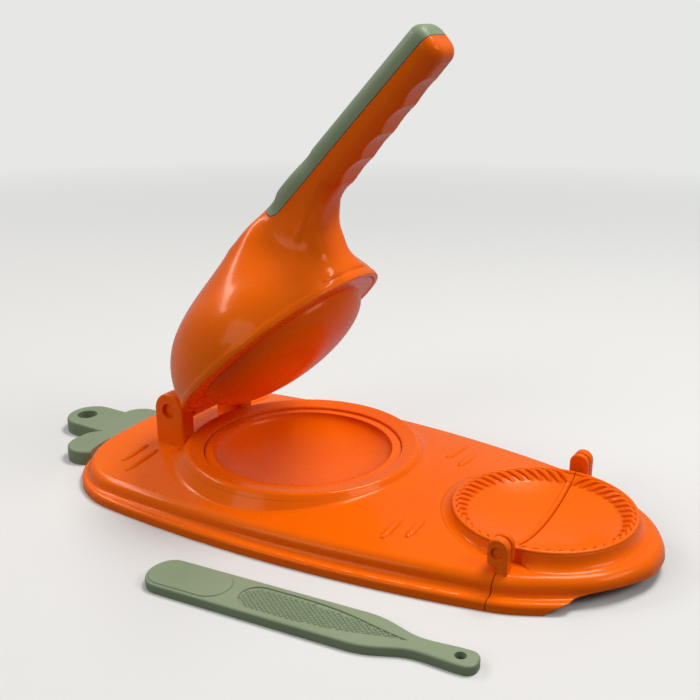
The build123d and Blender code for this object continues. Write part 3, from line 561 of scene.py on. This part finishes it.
def tongue_cutter(name, grow):
    """Prism across the lever over the tongue's side view, grown by grow."""
    low = TONGUE_START - grow
    profile = []
    for step in range(CUTTER_ROUND_STEPS + 1):
        angle = radians(90.0 * step / CUTTER_ROUND_STEPS)
        s = low + TONGUE_ROUND - TONGUE_ROUND * cos(angle)
        profile.append((s, tongue_split(s) - grow + TONGUE_ROUND - TONGUE_ROUND * sin(angle)))
    for s in np.linspace(low + TONGUE_ROUND + CUTTER_ROUND_GAP, CUTTER_END, CUTTER_LONG_POINTS):
        profile.append((s, tongue_split(s) - grow))
    profile += [(CUTTER_END, CUTTER_TOP), (low, CUTTER_TOP)]
    mesh = bpy.data.meshes.new(name)
    shape = bmesh.new()
    near = [shape.verts.new(lever_point(s, -CUTTER_HALF, off)) for s, off in profile]
    far = [shape.verts.new(lever_point(s, CUTTER_HALF, off)) for s, off in profile]
    shape.faces.new(near)
    shape.faces.new(far[::-1])
    for k in range(len(profile)):
        shape.faces.new((near[k], far[k], far[(k + 1) % len(profile)], near[(k + 1) % len(profile)]))
    bmesh.ops.recalc_face_normals(shape, faces=shape.faces)
    shape.to_mesh(mesh)
    shape.free()
    cutter = bpy.data.objects.new(name, mesh)
    bpy.context.scene.collection.objects.link(cutter)
    return cutter


def cut(piece, cutter, operation):
    """Applies one exact boolean of the cutter to the piece and removes the cutter."""
    modifier = piece.modifiers.new("cut", "BOOLEAN")
    modifier.operation = operation
    modifier.solver = "EXACT"
    modifier.object = cutter
    apply_modifiers(piece)
    bpy.data.objects.remove(cutter)
    return piece


grip_tongue = bpy.data.objects.new("grip_tongue", lever_skin.data.copy())
bpy.context.scene.collection.objects.link(grip_tongue)
cut(grip_tongue, tongue_cutter("tongue_cutter", 0.0), "INTERSECT")
cut(lever_skin, tongue_cutter("lever_cutter", JOINT_LINE), "DIFFERENCE")
print("tongue:", len(grip_tongue.data.vertices), "vertices; lever:", len(lever_skin.data.vertices))


SKIN_EDGE = radians(40)      # faces that meet at more than this have a sharp edge
BAND_EDGE = radians(50)
RIB_EDGE = radians(60)


def shade_by_angle(piece, angle, material):
    """Smooth faces with sharp edges where faces meet at more than the angle; one material."""
    piece.data.materials.clear()
    piece.data.materials.append(material)
    piece.data.polygons.foreach_set("use_smooth", [True] * len(piece.data.polygons))
    piece.data.polygons.foreach_set("material_index", [0] * len(piece.data.polygons))
    piece.data.set_sharp_from_angle(angle=angle)
    piece.data.update()


shade_by_angle(grip_tongue, SKIN_EDGE, sage_plastic)
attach(grip_tongue, "lever")
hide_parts("grip_inlay")

shade_by_angle(lever_skin, SKIN_EDGE, orange_plastic)
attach(lever_skin, "lever")
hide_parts("lever_shell")

# %% [markdown]
# ## Sweeps that soften the inside corners
#
# On the moulding every wall runs into the next face in a hollow sweep: the casing's
# side into its foot, the collar of the press well into the crown, and the wall of the
# mould into the crown.  Only the folding half's foot is left with its CAD step.  Each
# sweep is a slim closed band.  At every station it has a place high on the wall, a
# corner that pulls the face in, a place out on the lower face, and a place sunk in the
# wall behind them.

# %% Band with a hollow face
base_surface = BVHTree.FromObject(nodes["base_shell"], bpy.context.evaluated_depsgraph_get())
flap_surface = BVHTree.FromObject(nodes["flap_shell"], bpy.context.evaluated_depsgraph_get())


def hollow_band(name, stations, steps, body):
    """Orange band through stations of (high, corner, low, inside) places, hollow from high to low."""
    shape = bmesh.new()
    rings = []
    for high, corner, low, inside in stations:
        ring = []
        for step in range(steps + 1):
            t = step / steps
            ring.append(high * (1 - t) ** 2 + corner * (2 * t * (1 - t)) + low * t**2)
        ring.append(inside)
        rings.append([shape.verts.new(place) for place in ring])
    count = len(rings[0])
    for first, second in zip(rings, rings[1:]):
        for k in range(count):
            shape.faces.new((first[k], second[k], second[(k + 1) % count], first[(k + 1) % count]))
    shape.faces.new(rings[0][::-1])
    shape.faces.new(rings[-1])
    bmesh.ops.recalc_face_normals(shape, faces=shape.faces)
    mesh = bpy.data.meshes.new(name)
    shape.to_mesh(mesh)
    shape.free()
    piece = bpy.data.objects.new(name, mesh)
    bpy.context.scene.collection.objects.link(piece)
    shade_by_angle(piece, BAND_EDGE, orange_plastic)
    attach(piece, body)
    print(f"{name}: {len(stations)} stations")


def hit_point(tree, start, direction):
    """First place where a ray meets a search tree, or None."""
    place = tree.ray_cast(Vector(start), Vector(direction).normalized())[0]
    return None if place is None else Vector(place)


# %% Foot sweep round the casing
CASING_MIDDLE = Vector((30.0, 0.0, 0.0)) * MM
PROBE_START = 300 * MM       # the rays that find the casing start this far out
WALL_PROBE_Z = 9.5 * MM      # height where the wall is plain
FOOT_PROBE_Z = 1.0 * MM      # height where the foot is widest
FOOT_REACH_MIN = 2.0 * MM    # places with less or more reach than this get no sweep
FOOT_REACH_MAX = 9.0 * MM
SWEEP_HIGH_Z = 8.4 * MM
SWEEP_CORNER_Z = 4.9 * MM
SWEEP_LOW_Z = 4.45 * MM
SWEEP_SUNK_Z = 3.2 * MM
SWEEP_SUNK = 0.6 * MM
SWEEP_HIGH_SUNK_SHARE = 0.05
SWEEP_CORNER_SHARE = 0.14    # corner and low place, as shares of the foot's reach
SWEEP_LOW_SHARE = 0.62
SEAM_CLEARANCE = 1.2 * MM
CASING_RAYS = 420


def casing_edge(tree, angle, height):
    """Outermost place of the casing at a height, in the direction of an angle from its middle."""
    outward = Vector((cos(angle), sin(angle), 0.0))
    start = CASING_MIDDLE + outward * PROBE_START
    return hit_point(tree, (start.x, start.y, height), -outward)


def foot_stations(tree, angles):
    """Stations of the foot sweep, only where the casing has its full foot."""
    stations = []
    for angle in angles:
        wall = casing_edge(tree, angle, WALL_PROBE_Z)
        foot = casing_edge(tree, angle, FOOT_PROBE_Z)
        if wall is None or foot is None:
            continue
        out = Vector((foot.x - wall.x, foot.y - wall.y, 0.0))
        outward = Vector((cos(angle), sin(angle), 0.0))
        if not FOOT_REACH_MIN < out.dot(outward) < FOOT_REACH_MAX:
            continue
        sunk = -outward * SWEEP_SUNK
        high = Vector((wall.x, wall.y, SWEEP_HIGH_Z)) + sunk * SWEEP_HIGH_SUNK_SHARE
        corner = Vector((wall.x, wall.y, SWEEP_CORNER_Z)) + out * SWEEP_CORNER_SHARE
        low = Vector((wall.x, wall.y, SWEEP_LOW_Z)) + out * SWEEP_LOW_SHARE
        inside = Vector((wall.x, wall.y, SWEEP_SUNK_Z)) + sunk
        stations.append((high, corner, low, inside))
    return stations


def base_casing_angles(tree):
    """Angles round the casing at which its edge lies on the fixed side of the seam."""
    found = []
    for k in range(CASING_RAYS):
        angle = -pi + 2 * pi * k / CASING_RAYS
        edge = casing_edge(tree, angle, WALL_PROBE_Z)
        if edge is not None and edge.x < SEAM_X - SEAM_CLEARANCE:
            found.append(angle % (2 * pi))
    return sorted(found)


FOOT_STEPS = 10
base_foot = foot_stations(base_surface, base_casing_angles(base_surface))
hollow_band("base_foot_sweep", base_foot, FOOT_STEPS, "base")

# %% Sweeps of the collar and the mould wall
SKY_Z = 60 * MM              # above everything on the casing
RING_STEPS = 8
RING_INTO_WALL = 0.02 * MM   # the band's ends are sunk a hair in wall and crown
RING_INTO_CROWN = 0.03 * MM
RING_CORNER_OUT = 0.9 * MM
RING_CORNER_UP = 0.25 * MM
RING_SUNK_IN = 0.6 * MM
RING_SUNK_DOWN = 0.8 * MM
COLLAR_WALL = 57.6 * MM
COLLAR_REACH = 66.0 * MM
COLLAR_TOP_Z = 17.6 * MM
COLLAR_START = 212           # degrees; the collar sweep is open beside the hinge lugs
LUGS = (150, 210)            # degrees
MOULD_RADIUS = 42 * MM
MOULD_WALL = 39.15 * MM
MOULD_TOP_Z = 18.4 * MM
MOULD_REACH = (40.2, 3.6)    # millimetres beside the ears, and what it gains away from them
EAR_FREE = (6.5 * MM, 12 * MM)
COLLAR_STATIONS = 180
FLAP_RING = (-81.0, 81.1, 3.0)    # degrees: from, up to, step
BASE_RING = (99.0, 261.1, 3.0)


def crown_place(tree, x, y):
    """Place on the crown straight below (x, y)."""
    return hit_point(tree, (x, y, SKY_Z), (0, 0, -1))


def ring_sweep(name, tree, middle_x, radii, top_z, angles, body):
    """Sweep at the foot of a round wall; radii gives the wall's radius and the sweep's reach at an angle."""
    stations = []
    for angle in angles:
        wall_radius, reach = radii(angle)
        out = Vector((cos(angle), sin(angle), 0.0))
        middle = Vector((middle_x, 0.0, 0.0))
        landing = crown_place(tree, middle.x + out.x * reach, out.y * reach)
        if landing is None:
            continue
        high = middle + out * (wall_radius - RING_INTO_WALL) + Vector((0, 0, top_z))
        low = landing - Vector((0, 0, RING_INTO_CROWN))
        corner = middle + out * (wall_radius + RING_CORNER_OUT)
        corner.z = landing.z + RING_CORNER_UP
        inside = middle + out * (wall_radius - RING_SUNK_IN)
        inside.z = landing.z - RING_SUNK_DOWN
        stations.append((high, corner, low, inside))
    hollow_band(name, stations, RING_STEPS, body)


def collar_radii(angle):
    """Radius of the collar's wall and the sweep's reach, the same all round."""
    return COLLAR_WALL, COLLAR_REACH


def mould_radii(angle):
    """Radius of the mould's wall and the sweep's reach, which is short beside the ears."""
    from_seam = abs(cos(angle)) * MOULD_RADIUS
    free = smooth_step(*EAR_FREE, np.array(from_seam))
    return MOULD_WALL, (MOULD_REACH[0] + MOULD_REACH[1] * float(free)) * MM


around = [2 * pi * k / COLLAR_STATIONS for k in range(COLLAR_STATIONS)]
clear_of_lugs = [angle for angle in around if not (radians(LUGS[0]) < angle < radians(LUGS[1]))]
clear_of_lugs.sort(key=lambda angle: (angle - radians(COLLAR_START)) % (2 * pi))
flap_ring = [radians(angle) for angle in np.arange(*FLAP_RING)]
base_ring = [radians(angle) for angle in np.arange(*BASE_RING)]
ring_sweep("collar_sweep", base_surface, 0.0, collar_radii, COLLAR_TOP_Z, clear_of_lugs, "base")
ring_sweep("flap_mould_sweep", flap_surface, SEAM_X, mould_radii, MOULD_TOP_Z, flap_ring, "flap")
ring_sweep("base_mould_sweep", base_surface, SEAM_X, mould_radii, MOULD_TOP_Z, base_ring, "base")

# %% [markdown]
# ## Grip pattern of the spatula
#
# The pattern is one small stud repeated many times, so Geometry Nodes place it.  The set
# starts as a mesh of points that carry their turn as an attribute.  The node tree puts
# the stud on every point, makes it real geometry and gives it its plastic.

# %% Node tree that repeats a shape on points
def repeat_tree():
    """Geometry Nodes tree: a shape on every point, turned by the point's own angle."""
    tree = bpy.data.node_groups.new("repeat_on_points", "GeometryNodeTree")
    socket(tree, "Points", "NodeSocketGeometry", True)
    socket(tree, "Shape", "NodeSocketObject", True)
    socket(tree, "Plastic", "NodeSocketMaterial", True)
    socket(tree, "Geometry", "NodeSocketGeometry", False)
    new, link = tree.nodes.new, tree.links.new
    given, result = new("NodeGroupInput"), new("NodeGroupOutput")
    shape = new("GeometryNodeObjectInfo")
    turn = new("GeometryNodeInputNamedAttribute")
    turn.data_type = "FLOAT"
    turn.inputs["Name"].default_value = "turn"
    upright = new("ShaderNodeCombineXYZ")
    spread = new("GeometryNodeInstanceOnPoints")
    real = new("GeometryNodeRealizeInstances")
    paint = new("GeometryNodeSetMaterial")
    link(given.outputs["Shape"], shape.inputs["Object"])
    link(given.outputs["Points"], spread.inputs["Points"])
    link(shape.outputs["Geometry"], spread.inputs["Instance"])
    link(turn.outputs["Attribute"], upright.inputs["Z"])
    link(upright.outputs["Vector"], spread.inputs["Rotation"])
    link(spread.outputs["Instances"], real.inputs["Geometry"])
    link(real.outputs["Geometry"], paint.inputs["Geometry"])
    link(given.outputs["Plastic"], paint.inputs["Material"])
    link(paint.outputs["Geometry"], result.inputs["Geometry"])
    return tree


REPEAT = repeat_tree()


def repeated(name, points, turns, shape_mesh, material, body):
    """Piece made of shape_mesh on every point."""
    shape = bpy.data.objects.new(name + "_shape", shape_mesh)
    bpy.context.scene.collection.objects.link(shape)
    mesh = bpy.data.meshes.new(name)
    mesh.from_pydata([tuple(point) for point in points], [], [])
    attribute = mesh.attributes.new("turn", "FLOAT", "POINT")
    attribute.data.foreach_set("value", [float(turn) for turn in turns])
    piece = bpy.data.objects.new(name, mesh)
    bpy.context.scene.collection.objects.link(piece)
    spread = piece.modifiers.new("repeat", "NODES")
    spread.node_group = REPEAT
    given = {"Shape": shape, "Plastic": material}
    for item in REPEAT.interface.items_tree:
        if item.item_type == "SOCKET" and item.in_out == "INPUT" and item.name in given:
            spread[item.identifier] = given[item.name]
    apply_modifiers(piece)
    bpy.data.objects.remove(shape)
    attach(piece, body)
    print(f"{name}: {len(points)} shapes, {len(piece.data.polygons)} faces")


# %% Grip pattern of the spatula
STUD_PITCH = 2.5 * MM
STUD_HALF = 1.05 * MM
STUD_HEIGHT = 0.52 * MM
STUD_TOP = 0.35              # of its half width
STUD_SUNK = 0.02 * MM
ROW_SQUEEZE = 0.8            # rows lie closer than the pitch
PANEL_MARGIN = 1.0 * MM
PANEL_TAPER = 2.6            # power of the curve to the panel's narrow end
STUD_ROWS = 4                # on each side of the middle row
FIRST_STUD = 1.6 * MM
FOUR_WAYS = ((1, 0), (0, 1), (-1, 0), (0, -1))


def stud_mesh(half, height):
    """Low four-sided stud with a cut top, its base at z = 0."""
    shape = bmesh.new()
    top = half * STUD_TOP
    low = [shape.verts.new((half * x, half * y, 0.0)) for x, y in FOUR_WAYS]
    high = [shape.verts.new((top * x, top * y, height)) for x, y in FOUR_WAYS]
    for k in range(4):
        shape.faces.new((low[k], low[(k + 1) % 4], high[(k + 1) % 4], high[k]))
    shape.faces.new(high)
    shape.faces.new(low[::-1])
    mesh = bpy.data.meshes.new("stud")
    shape.to_mesh(mesh)
    shape.free()
    return mesh


def panel_half_width(along):
    """Half width of the sunk grip panel at a distance from the broad end."""
    bow = PANEL_START + PANEL_HALF
    if along < bow:
        return sqrt(max(0.0, PANEL_HALF**2 - (bow - along) ** 2))
    share = min(1.0, (along - bow) / (PANEL_END - bow))
    return PANEL_HALF * (1 - share**PANEL_TAPER)


def stud_places():
    """Places of the studs, in staggered rows over the panel."""
    found = []
    turn = Matrix.Rotation(SPATULA_TURN, 3, "Z")
    height = SPATULA_THICK - PANEL_DEPTH - STUD_SUNK
    columns = int((PANEL_END - PANEL_START - FIRST_STUD) / (STUD_PITCH / 2)) + 1
    for row in range(-STUD_ROWS, STUD_ROWS + 1):
        for column in range(columns):
            along = PANEL_START + FIRST_STUD + column * STUD_PITCH / 2
            across = (row + 0.5 * (column % 2)) * STUD_PITCH * ROW_SQUEEZE
            if abs(across) < panel_half_width(along) - PANEL_MARGIN:
                found.append(SPATULA_CORNER + turn @ Vector((along, across, height)))
    return found


studs = stud_places()
repeated(
    "spatula_grip_studs",
    studs,
    [SPATULA_TURN] * len(studs),
    stud_mesh(STUD_HALF, STUD_HEIGHT),
    sage_plastic,
    "spatula_body",
)

# %% [markdown]
# ## Ribs on the crown
#
# Pairs of short soft ridges stand on the crown beside the press well.  The CAD ribs
# are thin; these wider ones lie over them with a soft rise and round ends.

# %% Soft ribs
# x of each rib and the y of both ends, in millimetres
RIBS = (
    (-71.0, 33.4, 48.7), (-71.0, -48.7, -33.4), (-62.5, 35.4, 55.2), (-62.5, -55.2, -35.4),
    (63.6, 28.8, 48.4), (72.4, 23.4, 38.9), (73.5, -50.2, -35.7), (82.1, -44.8, -32.4),
)
RIB_HALF = 1.9 * MM
RIB_RISE = 1.45 * MM
RIB_SUNK = 0.25 * MM
RIB_STRETCH = 1.06           # of the CAD rib's length
BESIDE_RIB = 2.4             # millimetres from its middle to plain crown
RIB_STEPS = 16
RIB_SIDES = 8
RIB_END_POWER = 6            # higher is blunter
RIB_TIP_SHARE = 0.05         # width left at the very ends


def add_rib(shape, rib_x, y0, y1):
    """Adds one soft rib to a mesh, a row of half rounds that sink at both ends."""
    rings = []
    for k in range(RIB_STEPS + 1):
        t = -1 + 2 * k / RIB_STEPS
        fade = max(0.0, 1 - abs(t) ** RIB_END_POWER) ** 0.5
        y = ((y0 + y1) / 2 + t * (y1 - y0) / 2 * RIB_STRETCH) * MM
        ground = crown_place(base_surface, (rib_x + BESIDE_RIB) * MM, y)
        ring = []
        for j in range(RIB_SIDES + 1):
            angle = pi * j / RIB_SIDES
            x = rib_x * MM + RIB_HALF * cos(angle) * max(fade, RIB_TIP_SHARE)
            z = ground.z - RIB_SUNK + RIB_RISE * sin(angle) * fade
            ring.append(shape.verts.new((x, y, z)))
        rings.append(ring)
    count = RIB_SIDES + 1
    for first, second in zip(rings, rings[1:]):
        for j in range(count):
            shape.faces.new((first[j], second[j], second[(j + 1) % count], first[(j + 1) % count]))
    shape.faces.new(rings[0][::-1])
    shape.faces.new(rings[-1])


rib_shape = bmesh.new()
for rib in RIBS:
    add_rib(rib_shape, *rib)
bmesh.ops.recalc_face_normals(rib_shape, faces=rib_shape.faces)
rib_mesh = bpy.data.meshes.new("crown_ribs")
rib_shape.to_mesh(rib_mesh)
rib_shape.free()
crown_ribs = bpy.data.objects.new("crown_ribs", rib_mesh)
bpy.context.scene.collection.objects.link(crown_ribs)
shade_by_angle(crown_ribs, RIB_EDGE, orange_plastic)
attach(crown_ribs, "base")
print("ribs:", len(RIBS))

# %% [markdown]
# ## Camera and light
#
# The camera looks along the press from the front right, slightly down.  A soft box
# hangs high behind the press and lights the tops.  A second one stands to the right of
# the folding mould half, a strip to the left draws an edge of light on the dome, and a
# broad fill in front brings up the neck and the side of the dome.

# %% Camera
def look_from(location, azimuth, pitch, lens):
    """Camera at a place, looking azimuth degrees left of +Y and pitch degrees down."""
    data = bpy.data.cameras.new("camera")
    data.lens = lens
    data.sensor_width = 36.0
    data.clip_start = 0.01
    data.clip_end = 20.0
    camera = bpy.data.objects.new("camera", data)
    bpy.context.scene.collection.objects.link(camera)
    camera.location = location
    camera.rotation_euler = (radians(90.0 - pitch), 0.0, radians(azimuth))
    bpy.context.scene.camera = camera
    return camera


CAMERA_PLACE = (0.2539, -0.3671, 0.2176)
camera = look_from(CAMERA_PLACE, azimuth=31.77, pitch=18.73, lens=51.79)
print("camera at", [round(value, 3) for value in camera.location])

# %% Soft boxes
def soft_box(name, location, target, size, power, tint):
    """Rectangular lamp at a place, facing a target."""
    data = bpy.data.lights.new(name, "AREA")
    data.shape = "RECTANGLE"
    data.size, data.size_y = size
    data.energy = power
    data.color = tint
    lamp = bpy.data.objects.new(name, data)
    bpy.context.scene.collection.objects.link(lamp)
    lamp.location = location
    aim = Vector(target) - Vector(location)
    lamp.rotation_euler = aim.to_track_quat("-Z", "Y").to_euler()


PRESS_MIDDLE = (0.02, 0.0, 0.06)
soft_box("top_soft_box", (0.27, 0.42, 1.16), PRESS_MIDDLE, (0.50, 0.40), 10.4, (1.0, 0.99, 0.97))
soft_box("right_soft_box", (1.00, 0.12, 0.80), PRESS_MIDDLE, (0.55, 0.35), 3.6, (1.0, 0.98, 0.95))
soft_box("left_strip", (-0.84, -0.10, 0.74), PRESS_MIDDLE, (0.80, 0.12), 3.4, (1.0, 0.97, 0.93))
soft_box("front_fill", (-0.30, -1.00, 0.60), PRESS_MIDDLE, (0.60, 0.50), 2.8, (1.0, 0.97, 0.93))

# %% [markdown]
# The press stands in a wide bowl, a floor that curves up to a wall all round, so that
# every view ends in the same pale tone.  The paint is pale where the camera sees it,
# part pale in reflections, and dim for the light that it bounces back.

# %% Pale studio bowl
FLOOR_TONES = ((0.70, 0.70, 0.69), (0.73, 0.73, 0.72))
BOUNCE_TONE = (0.14, 0.14, 0.14)
FAR_TONE = (0.80, 0.80, 0.79)
GLOSS_SHARE = 0.3            # how pale the floor is in reflections
FAR_START = 0.30
FAR_END = 1.10


def pale_studio_material():
    """Matt pale paint with a faint drift."""
    material = bpy.data.materials.new("pale_matt_paint")
    material.use_nodes = True
    tree = material.node_tree
    shader = tree.nodes["Principled BSDF"]
    place = tree.nodes.new("ShaderNodeTexCoord")
    drift = tree.nodes.new("ShaderNodeTexNoise")
    drift.inputs["Scale"].default_value = 1.5
    tree.links.new(place.outputs["Object"], drift.inputs["Vector"])
    pale = mix_colour(tree, drift.outputs["Fac"], *FLOOR_TONES)
    rays = tree.nodes.new("ShaderNodeLightPath")
    seen = tree.nodes.new("ShaderNodeMath")
    seen.operation = "ADD"
    seen.use_clamp = True
    tree.links.new(rays.outputs["Is Camera Ray"], seen.inputs[0])
    seen_in_gloss = tree.nodes.new("ShaderNodeMath")
    seen_in_gloss.operation = "MULTIPLY_ADD"
    seen_in_gloss.inputs[1].default_value = GLOSS_SHARE
    tree.links.new(rays.outputs["Is Glossy Ray"], seen_in_gloss.inputs[0])
    tree.links.new(rays.outputs["Is Transmission Ray"], seen_in_gloss.inputs[2])
    tree.links.new(seen_in_gloss.outputs[0], seen.inputs[1])
    paint = tree.nodes.new("ShaderNodeMix")
    paint.data_type = "RGBA"
    paint.inputs["A"].default_value = (*BOUNCE_TONE, 1.0)
    tree.links.new(seen.outputs[0], paint.inputs["Factor"])
    tree.links.new(pale, paint.inputs["B"])
    tree.links.new(paint.outputs["Result"], shader.inputs["Base Color"])
    # Far from the press the paint shows one even tone
    distance = tree.nodes.new("ShaderNodeVectorMath")
    distance.operation = "LENGTH"
    tree.links.new(place.outputs["Object"], distance.inputs[0])
    far = map_value(tree, distance.outputs["Value"], FAR_START, FAR_END, 0.0, 1.0)
    far_seen = tree.nodes.new("ShaderNodeMath")
    far_seen.operation = "MULTIPLY"
    tree.links.new(far, far_seen.inputs[0])
    tree.links.new(seen.outputs[0], far_seen.inputs[1])
    even = tree.nodes.new("ShaderNodeEmission")
    even.inputs["Color"].default_value = (*FAR_TONE, 1.0)
    blend = tree.nodes.new("ShaderNodeMixShader")
    tree.links.new(far_seen.outputs[0], blend.inputs["Fac"])
    tree.links.new(shader.outputs["BSDF"], blend.inputs[1])
    tree.links.new(even.outputs["Emission"], blend.inputs[2])
    tree.links.new(blend.outputs["Shader"], tree.nodes["Material Output"].inputs["Surface"])
    shader.inputs["Roughness"].default_value = 0.9
    shader.inputs["Specular IOR Level"].default_value = 0.1
    return material


BOWL_STEPS = 12


def studio_bowl(flat_radius, curve_radius, wall_height, turns):
    """Floor disc that curves up into a round wall."""
    profile = [(0.0, 0.0), (flat_radius / 2, 0.0)]
    for step in range(BOWL_STEPS + 1):
        angle = radians(90.0 * step / BOWL_STEPS)
        profile.append((flat_radius + curve_radius * sin(angle), curve_radius * (1 - cos(angle))))
    profile.append((flat_radius + curve_radius, wall_height))
    mesh = bpy.data.meshes.new("studio_bowl")
    shape = bmesh.new()
    centre = shape.verts.new((0.0, 0.0, 0.0))
    rings = []
    circle = [(cos(2 * pi * k / turns), sin(2 * pi * k / turns)) for k in range(turns)]
    for radius, height in profile[1:]:
        rings.append([shape.verts.new((radius * x, radius * y, height)) for x, y in circle])
    for k in range(turns):
        shape.faces.new((centre, rings[0][k], rings[0][(k + 1) % turns]))
    for low, high in zip(rings, rings[1:]):
        for k in range(turns):
            shape.faces.new((low[k], high[k], high[(k + 1) % turns], low[(k + 1) % turns]))
    for face in shape.faces:
        face.smooth = True
    shape.to_mesh(mesh)
    shape.free()
    bowl = bpy.data.objects.new("studio_bowl", mesh)
    bpy.context.scene.collection.objects.link(bowl)
    mesh.materials.append(pale_studio_material())
    return bowl


bowl = studio_bowl(flat_radius=2.2, curve_radius=0.8, wall_height=1.6, turns=96)
bowl.location.z = min(0.0, cad_box[0][2])
ROOM_TONE = (0.95, 0.97, 1.0)
ROOM_STRENGTH = 0.30
world = bpy.data.worlds.new("room_light")
world.use_nodes = True
background = world.node_tree.nodes["Background"]
background.inputs["Color"].default_value = (*ROOM_TONE, 1.0)
background.inputs["Strength"].default_value = ROOM_STRENGTH
bpy.context.scene.world = world
bpy.context.scene.view_settings.view_transform = "Standard"
lamps = [thing for thing in bpy.context.scene.objects if thing.type == "LIGHT"]
print("studio bowl and", len(lamps), "soft boxes")
